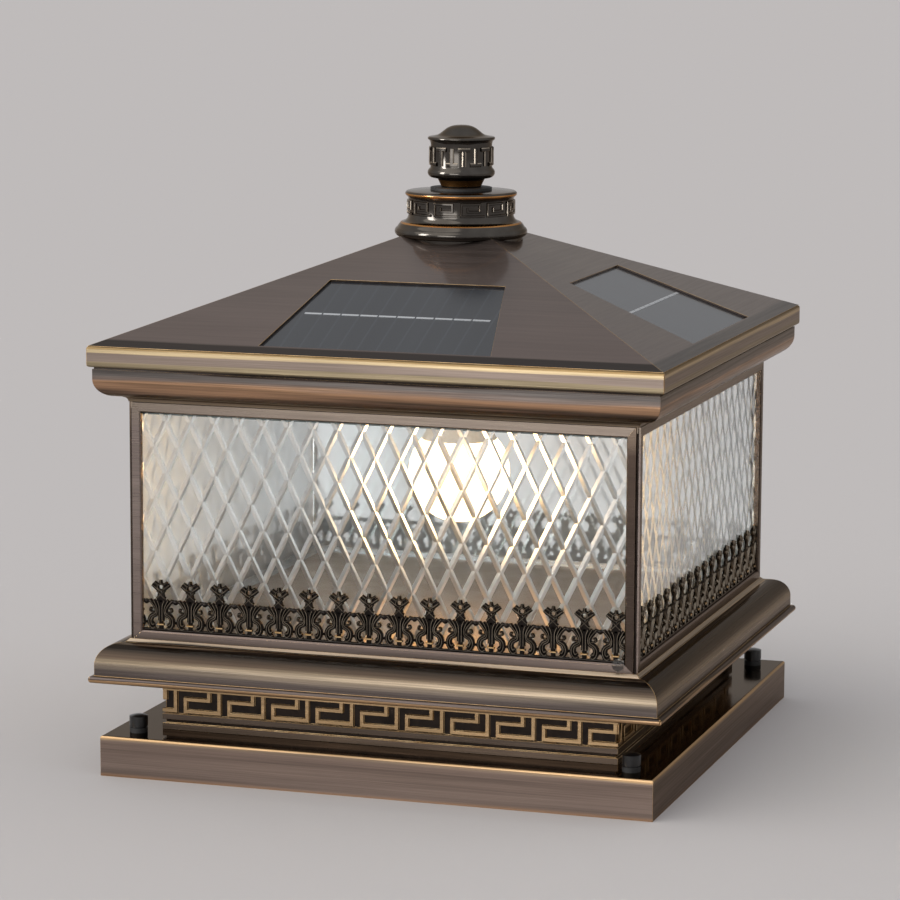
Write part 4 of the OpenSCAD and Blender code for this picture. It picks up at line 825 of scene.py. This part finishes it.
def dome(x, z, radius, plate, rise, rings=3, around=10):
    # ring i is a circle whose radius and height follow a quarter turn, closed by a middle point
    turn = np.linspace(0, 2 * math.pi, around, endpoint=False)
    lift = np.linspace(0, math.pi / 2, rings + 1)[:-1]
    radii = np.concatenate([[radius], radius * np.cos(lift)])
    heights = np.concatenate([[0.0], plate + rise * np.sin(lift)])
    px = x + radii[:, None] * np.cos(turn)[None, :]
    pz = z + radii[:, None] * np.sin(turn)[None, :]
    ph = np.broadcast_to(heights[:, None], px.shape)
    points = np.concatenate([np.stack([px, pz, ph], 2).reshape(-1, 3), [[x, z, plate + rise]]])
    quads = gridFaces(len(radii), around)
    last = (len(radii) - 1) * around
    j = np.arange(around)
    cap = np.stack([last + j, last + (j + 1) % around, np.full(around, len(points) - 1)], 1)
    faces = [tuple(face) for face in quads.tolist() + cap.tolist()] + [tuple(range(around))[::-1]]
    return points, faces, [0] * len(faces)


def joined(parts):
    # one mesh of all the parts' points, with their faces counted on
    points, faces, tones, start = [], [], [], 0
    for partPoints, partFaces, partTones in parts:
        points.append(partPoints)
        faces += [tuple(start + i for i in face) for face in partFaces]
        tones += partTones
        start += len(partPoints)
    return np.concatenate(points), faces, tones


def cutOff(work, place, away):
    # takes off what lies past a plane and gives the edges along the cut
    onPlane = 0.0001 * mm
    whole = work.verts[:] + work.edges[:] + work.faces[:]
    cut = bmesh.ops.bisect_plane(
        work, geom=whole, dist=onPlane, plane_co=place, plane_no=away, clear_outer=True)
    return [edge for edge in cut["geom_cut"] if isinstance(edge, bmesh.types.BMEdge)]


# The pierced gallery: lyre shaped motifs of cast strokes, each with a thin ridge along its back, rubbed and
# painted pale as its highlight.
# A motif's points are in mm beside its stem and above the band's foot, and each side mirrors the other.

gallery = {
    "pitch": 16.45,       # mm between stems
    "start": 10.1,        # mm from the window's left edge to the first stem
    "edgeGap": 0.3,       # mm between the band's end and the window's edge
    "plate": 0.8,         # mm of flat sheet under the ridges
    "rise": 0.75,         # mm that a ridge rises above the sheet
    "ridge": (0.34, 0.14),    # how wide its foot and its crest are, of the stroke
    "crown": 0.3,         # mm that a plain stroke rises in its middle
    "claspCrown": 0.35,
    "crownWide": 0.6,     # of the stroke
    "railTall": 1.3,      # mm
    "railPast": 1,        # mm that it is laid past the band's ends, before they are cut
    "railSide": 0.5,      # mm that the foot rail stands over the sheet at its sides
    "railCrown": 0.8,
    "overlap": 0.2,       # mm that the links run past the middle between two stems
    "outer": [(6.3, 16.3), (3.9, 13.5), (2.75, 11.2), (3.1, 9.4), (5.4, 8.0), (6.7, 5.7), (6.3, 2.9),
              (4.7, 1.3), (3.2, 2.0)],
    "inner": [(4.2, 16.5), (2.6, 13.6), (1.95, 11.0), (2.6, 8.6), (4.8, 7.2), (5.5, 5.0), (4.7, 3.2),
              (3.6, 3.9)],
    "stem": [(2.0, 16.2), (0.95, 13.6), (0.8, 10.0), (0.8, 5.4)],
    "strokeWide": 2.05,
    "hook": [(3.2, 9.8), (4.7, 10.0), (6.1, 10.6), (5.8, 11.8), (4.8, 11.6)],
    "hookWide": 1.3,
    "hookTaper": (0.8, 1.1),
    # links to the next motif: start, height of the end, width
    "links": [((5.6, 16.1), 15.4, 1.7), ((6.6, 3.7), 4.6, 1.2)],
    # start, end, width, share of the width at the end
    "leaves": [((-2.4, 17.2), (2.2, 21.5), 1.5, 1.0), ((1.5, 22.2), (4.9, 24.7), 2.6, 0.75),
               ((1.2, 24.2), (3.6, 26.0), 1.8, 0.75)],
    "trunk": [((0, 1.0), (0, 16.4), 2.4, 1.0), ((0, 15.4), (0, 20.0), 5.4, 0.7)],
    "bud": ((0, 24.8), (0, 27.2), 2.6, 0.6),
    "knotHigh": 15.4,
    "knotRadius": 1.35,
    "claspHigh": 3.6,
    "claspHalf": 1.9,
    "claspWide": 1.1,
    "flowerHigh": 23.4,
    "flowerRadius": 1.85,
    "flowerWide": 1.4,
    "flowerPoints": 10,
    "sharp": 50,          # degrees, past which an edge isn't smoothed
}


def crowned(wide, side, crown, tone=0):
    # a bar's section: upright sides, and slopes up to a flat crown that has a share "wide" of its width
    return [(1, 0, tone), (1, side, tone), (wide, crown, tone), (-wide, crown, tone), (-1, side, tone),
            (-1, 0, tone)]


def galleryUnit(g):
    plate, top = g["plate"], g["plate"] + g["rise"]
    foot, crest = g["ridge"]
    ridged = [(1, 0, 0), (1, plate, 0), (foot, plate, 1), (crest, top, 1), (-crest, top, 1),
              (-foot, plate, 0), (-1, plate, 0), (-1, 0, 0)]
    plain = crowned(g["crownWide"], plate, plate + g["crown"])
    clasp = crowned(g["crownWide"], top, top + g["claspCrown"], 2)
    between = g["pitch"] / 2
    parts = []
    for way in (1, -1):
        turn = np.array((way, 1))
        for line in ("outer", "inner", "stem"):
            parts.append(stroke(curvePath(g[line]) * turn, ridged, g["strokeWide"]))
        parts.append(stroke(curvePath(g["hook"]) * turn, ridged, g["hookWide"], taper=g["hookTaper"]))
        for start, height, width in g["links"]:
            parts.append(stroke(linePath(start, (between + g["overlap"], height)) * turn, plain, width))
        for start, end, width, narrow in g["leaves"]:
            parts.append(stroke(linePath(start, end) * turn, ridged, width, taper=(1.0, narrow)))
    parts.append(dome(between, g["knotHigh"], g["knotRadius"], plate, g["rise"]))
    for start, end, width, narrow in g["trunk"]:
        parts.append(stroke(linePath(start, end), plain, width, taper=(1.0, narrow)))
    band = linePath((-g["claspHalf"], g["claspHigh"]), (g["claspHalf"], g["claspHigh"]))
    parts.append(stroke(band, clasp, g["claspWide"]))
    lastTurn = 360 * (1 - 1 / g["flowerPoints"])
    flower = arcPath(0, g["flowerHigh"], g["flowerRadius"], 0, lastTurn, g["flowerPoints"])
    parts.append(stroke(flower, ridged, g["flowerWide"], closed=True))
    start, end, width, narrow = g["bud"]
    parts.append(stroke(linePath(start, end), ridged, width, taper=(1.0, narrow)))
    return parts


def makeGallery(side, g):
    # point i of unit k lies at the motif's own point i plus stem k's distance along the band
    name = "gallery_" + side
    low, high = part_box("gallery_front")
    unit, unitFaces, unitTones = joined(galleryUnit(g))
    window = windowHalf / mm
    edge = window - g["edgeGap"]
    last = int((2 * window - g["start"]) // g["pitch"])
    stems = g["start"] - window + g["pitch"] * np.arange(-1, last + 2)
    tiled = np.repeat(unit[None], len(stems), 0)
    tiled[:, :, 0] += stems[:, None]
    units = [(points, unitFaces, unitTones) for points in tiled]
    rail = crowned(g["crownWide"], g["plate"] + g["railSide"], g["plate"] + g["railCrown"])
    middle = g["railTall"] / 2
    reach = edge + g["railPast"]
    units.append(stroke(linePath((-reach, middle), (reach, middle)), rail, g["railTall"]))
    points, faces, tones = joined(units)
    flat = np.stack([points[:, 0] * mm, high.y - points[:, 2] * mm, low.z + points[:, 1] * mm], 1)
    mesh = bpy.data.meshes.new(name + "_cast")
    mesh.from_pydata(flat.tolist(), [], faces)
    mesh.polygons.foreach_set("material_index", np.array(tones, np.int32))
    for material in ("galleryBronze", "rubbedRidgeAndHighlight", "rubbedEdgeAndHighlight"):
        mesh.materials.append(finish[material])
    work = bmesh.new()
    work.from_mesh(mesh)
    ends = [((way * edge * mm, 0, 0), (way, 0, 0)) for way in (-1, 1)]
    for place, away in ends + [((0, 0, low.z), (0, 0, -1))]:
        bmesh.ops.holes_fill(work, edges=cutOff(work, place, away), sides=0)
    bmesh.ops.recalc_face_normals(work, faces=work.faces)
    work.transform(Matrix.Rotation(math.radians(90 * sides.index(side)), 4, "Z"))
    work.to_mesh(mesh)
    work.free()
    mesh.shade_smooth()
    mesh.set_sharp_from_angle(angle=math.radians(g["sharp"]))
    ownPiece(mesh, name)


for side in sides:
    makeGallery(side, gallery)
print("galleries cast")


# The panes: each diamond is a flat cell with four slopes down to the valleys of the cuts round it

def makePane(side, s):
    # corner i of a cell lies at its middle plus half a diamond along an axis, and the flat's at a share of it
    name = "glass_" + side
    low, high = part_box("glass_front")
    wide, tall = s["diamondWide"] / 2, s["diamondTall"] / 2
    inside = wide * tall / math.hypot(wide, tall)
    share = 1 - s["cutWide"] / 2 / inside
    middleX, middleZ = s["crossingSide"], low.z / mm + s["crossingHigh"]
    aside, above = s["halvesAside"], s["halvesAbove"]
    column, row = np.meshgrid(np.arange(-aside, aside + 1), np.arange(-above, above + 1))
    odd = (column + row) % 2 == 1
    centre = np.stack([middleX + column[odd] * wide, middleZ + row[odd] * tall], 1)
    corner = np.array([(wide, 0), (0, tall), (-wide, 0), (0, -tall)])
    valley = centre[:, None, :] + corner[None, :, :]
    flat = centre[:, None, :] + corner[None, :, :] * share
    face = low.y / mm
    depth = np.broadcast_to([s["cutDeep"]] * 4 + [0.0] * 4, (len(centre), 8))
    places = np.concatenate([valley, flat], 1)
    points = np.stack([places[:, :, 0], face + depth, places[:, :, 1]], 2).reshape(-1, 3) * mm
    cell = [(4, 5, 6, 7), (0, 1, 5, 4), (1, 2, 6, 5), (2, 3, 7, 6), (3, 0, 4, 7)]
    faces = (np.arange(len(centre))[:, None, None] * 8 + np.array(cell)[None]).reshape(-1, 4)
    mesh = bpy.data.meshes.new(name + "_cut")
    mesh.from_pydata(points.tolist(), [], faces.tolist())
    work = bmesh.new()
    work.from_mesh(mesh)
    bmesh.ops.remove_doubles(work, verts=work.verts, dist=s["weld"])
    for end, way in ((low, -1), (high, 1)):
        cutOff(work, (end.x, 0, 0), (way, 0, 0))
    for end, way in ((low, -1), (high, 1)):
        cutOff(work, (0, 0, end.z), (0, 0, way))
    rim = [edge for edge in work.edges if edge.is_boundary]
    wall = bmesh.ops.extrude_edge_only(work, edges=rim)["geom"]
    corners = [part for part in wall if isinstance(part, bmesh.types.BMVert)]
    backFace = Matrix.Translation((0, -high.y, 0))
    bmesh.ops.scale(work, vec=(1, 0, 1), space=backFace, verts=corners)
    backRim = [part for part in wall if isinstance(part, bmesh.types.BMEdge) and part.is_boundary]
    bmesh.ops.contextual_create(work, geom=backRim)
    bmesh.ops.recalc_face_normals(work, faces=work.faces)
    work.transform(Matrix.Rotation(math.radians(90 * sides.index(side)), 4, "Z"))
    work.to_mesh(mesh)
    work.free()
    mesh.materials.append(finish["cutGlass"])
    mesh.shade_flat()
    ownPiece(mesh, name)


for side in sides:
    makePane(side, cutGlass)
print("panes cut")


# The finial: a turned collar and knob of glossy patinated bronze, with keys cast on their bands.
# Profile rows are (radius, height, finish from this point to the next) in mm.

finial = {
    "around": 128,            # points round a ring
    "keyRise": 0.9,           # mm
    "keyEdge": 0.4,           # mm that a key's sides slope, and that it sinks into its band
    "keyCrown": 0.55,         # of a key's width
    "collarRadius": 28.4,     # mm, of the band
    "spirals": 12,
    "spiral": [(6.6, 10.1), (-6.0, 10.1), (-6.0, 16.5), (4.0, 16.5), (4.0, 12.6), (-2.6, 12.6),
               (-2.6, 14.6)],
    "spiralWide": 1.3,
    "knobRadius": 16.6,
    "tees": 8,                # that stand, with as many that hang between them
    "standing": [[(-3.2, 12.6), (3.2, 12.6)], [(0, 12.9), (0, 21.4)]],
    "hanging": [[(-3.2, 20.6), (3.2, 20.6)], [(0, 20.3), (0, 11.8)]],
    "teeWide": 2.2,
    "sharp": 38,              # degrees, past which an edge isn't smoothed
}


def withTone(path, tone=0):
    return [(x, z, tone) for x, z in path.tolist()]


def collarProfile():
    # foot roll, rubbed fillet, cove, band, rubbed lip and top, by arcs and lines
    rows = [(0, -6.0, 0), (33.0, -5.8, 0)]
    rows += withTone(arcPath(33.1, 0, 2.8, -85, 62, 14))
    rows += [(33.9, 3.4, 0), (33.3, 4.2, 0), (33.0, 4.5, 1), (32.3, 5.1, 1), (31.8, 5.3, 0),
             (31.0, 5.45, 0)]
    rows += withTone(arcPath(32.6, 9.3, 4.15, 248, 182, 8))
    rows += [(28.4, 9.6, 0), (28.4, 17.3, 0), (28.7, 18.3, 0), (29.3, 19.0, 0), (29.75, 19.45, 1)]
    rows += withTone(arcPath(28.9, 20.45, 1.3, -28, 0, 3), 1)
    rows += withTone(arcPath(28.9, 20.45, 1.3, 12, 80, 6))
    return rows + [(28.0, 21.85, 0), (16.6, 22.4, 0), (0, 22.4, 0)]


def knobProfile():
    # neck, roll, band, lip and a bell shaped top, by arcs, lines and one curve
    # the neck's cone takes the copper finish as a painted reflection of the gold line below it
    rows = [(0, 0, 0), (10.8, 0, 0), (10.9, 0.5, 1), (12.5, 3.8, 0), (13.4, 4.7, 0)]
    rows += withTone(arcPath(15.4, 7.7, 2.8, -118, 52, 14))
    rows += [(16.75, 10.4, 0), (16.6, 11.2, 0), (16.6, 23.0, 0), (16.8, 24.0, 0), (17.2, 24.9, 0)]
    rows += withTone(arcPath(17.3, 26.1, 0.9, -50, 100, 8))
    bell = [(16.6, 27.15), (15.2, 27.35), (13.2, 27.8), (11.6, 28.6), (9.7, 30.1), (7.3, 31.8), (4.2, 32.9),
            (0, 33.3)]
    return rows + withTone(curvePath(bell))


def turned(profile, around):
    # point (i, j) is profile row i carried round the axis: radius times cosine and sine, and its height
    rows = np.asarray(profile, float)
    turn = np.linspace(0, 2 * math.pi, around, endpoint=False)
    ring = rows[1:-1]
    px = ring[:, 0][:, None] * np.cos(turn)[None, :]
    py = ring[:, 0][:, None] * np.sin(turn)[None, :]
    pz = np.broadcast_to(ring[:, 1][:, None], px.shape)
    poles = [[0, 0, rows[0, 1]], [0, 0, rows[-1, 1]]]
    points = np.concatenate([np.stack([px, py, pz], 2).reshape(-1, 3), poles])
    quads = gridFaces(len(ring), around)
    tones = np.repeat(ring[:-1, 2].astype(int), around).tolist()
    j = np.arange(around)
    foot = np.stack([(j + 1) % around, j, np.full(around, len(points) - 2)], 1)
    last = (len(ring) - 1) * around
    cap = np.stack([last + j, last + (j + 1) % around, np.full(around, len(points) - 1)], 1)
    faces = [tuple(face) for face in quads.tolist() + foot.tolist() + cap.tolist()]
    return points, faces, tones + [0] * (2 * around)


def densePath(points, step=1.0):
    # the same corners with more points between them, so that a long stroke bends round its band
    p = np.asarray(points, float)
    stretches = []
    for start, end in zip(p[:-1], p[1:]):
        count = max(int(np.ceil(np.linalg.norm(end - start) / step)), 1)
        stretches.append(linePath(start, end, count + 1)[:-1])
    return np.concatenate(stretches + [p[-1:]])


def wrapped(part, radius, angle):
    # distance along the band becomes an angle round the axis, and the stroke's height adds to the radius
    points, faces, tones = part
    turn = points[:, 0] / radius + angle
    out = radius + points[:, 2]
    return np.stack([out * np.sin(turn), -out * np.cos(turn), points[:, 1]], 1), faces, tones


def keySection(f):
    # a key's section, with painted highlight on its slopes and its crown dark
    rise, edge, crown = f["keyRise"], f["keyEdge"], f["keyCrown"]
    return [(1, -edge, 0), (1, rise - edge, 2), (crown, rise, 0), (-crown, rise, 2), (-1, rise - edge, 0),
            (-1, -edge, 0)]


def makeFinialPiece(name, foot, parts, sharp):
    points, faces, tones = joined(parts)
    points = points * mm
    points[:, 2] += foot
    mesh = bpy.data.meshes.new(name + "_turned")
    mesh.from_pydata(points.tolist(), [], faces)
    mesh.polygons.foreach_set("material_index", np.array(tones, np.int32))
    for material in ("finialBronze", "copperLineAndReflection", "reliefHighlight"):
        mesh.materials.append(finish[material])
    work = bmesh.new()
    work.from_mesh(mesh)
    bmesh.ops.recalc_face_normals(work, faces=work.faces)
    work.to_mesh(mesh)
    work.free()
    mesh.shade_smooth()
    mesh.set_sharp_from_angle(angle=math.radians(sharp))
    ownPiece(mesh, name)


def makeCollar(f):
    key = stroke(densePath(f["spiral"]), keySection(f), f["spiralWide"])
    turns = [2 * math.pi * k / f["spirals"] for k in range(f["spirals"])]
    keys = [wrapped(key, f["collarRadius"], turn) for turn in turns]
    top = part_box("finial_collar")[1].z
    profile = collarProfile()
    rise = profile[-1][1] * mm
    makeFinialPiece("finial_collar", top - rise, [turned(profile, f["around"])] + keys, f["sharp"])


def makeKnob(f):
    section = keySection(f)
    standing = [stroke(densePath(path), section, f["teeWide"]) for path in f["standing"]]
    hanging = [stroke(densePath(path), section, f["teeWide"]) for path in f["hanging"]]
    keys = []
    for k in range(f["tees"]):
        turn = 2 * math.pi * k / f["tees"]
        keys += [wrapped(part, f["knobRadius"], turn) for part in standing]
        keys += [wrapped(part, f["knobRadius"], turn + math.pi / f["tees"]) for part in hanging]
    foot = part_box("finial_knob")[0].z
    makeFinialPiece("finial_knob", foot, [turned(knobProfile(), f["around"])] + keys, f["sharp"])


makeCollar(finial)
makeKnob(finial)
print("finial turned")


# The low panels leave out the roof and its cells, which would glare at who looks from behind

def keepOffRoof(lamps):
    spared = bpy.data.collections.new("roofAndCells")
    for name in ["roof_shell_eased"] + ["solar_" + side for side in sides]:
        spared.objects.link(bpy.data.objects[name])
    for member in spared.collection_objects:
        member.light_linking.link_state = "EXCLUDE"
    for lamp in lamps:
        lamp.light_linking.receiver_collection = spared


keepOffRoof(lowLamps)
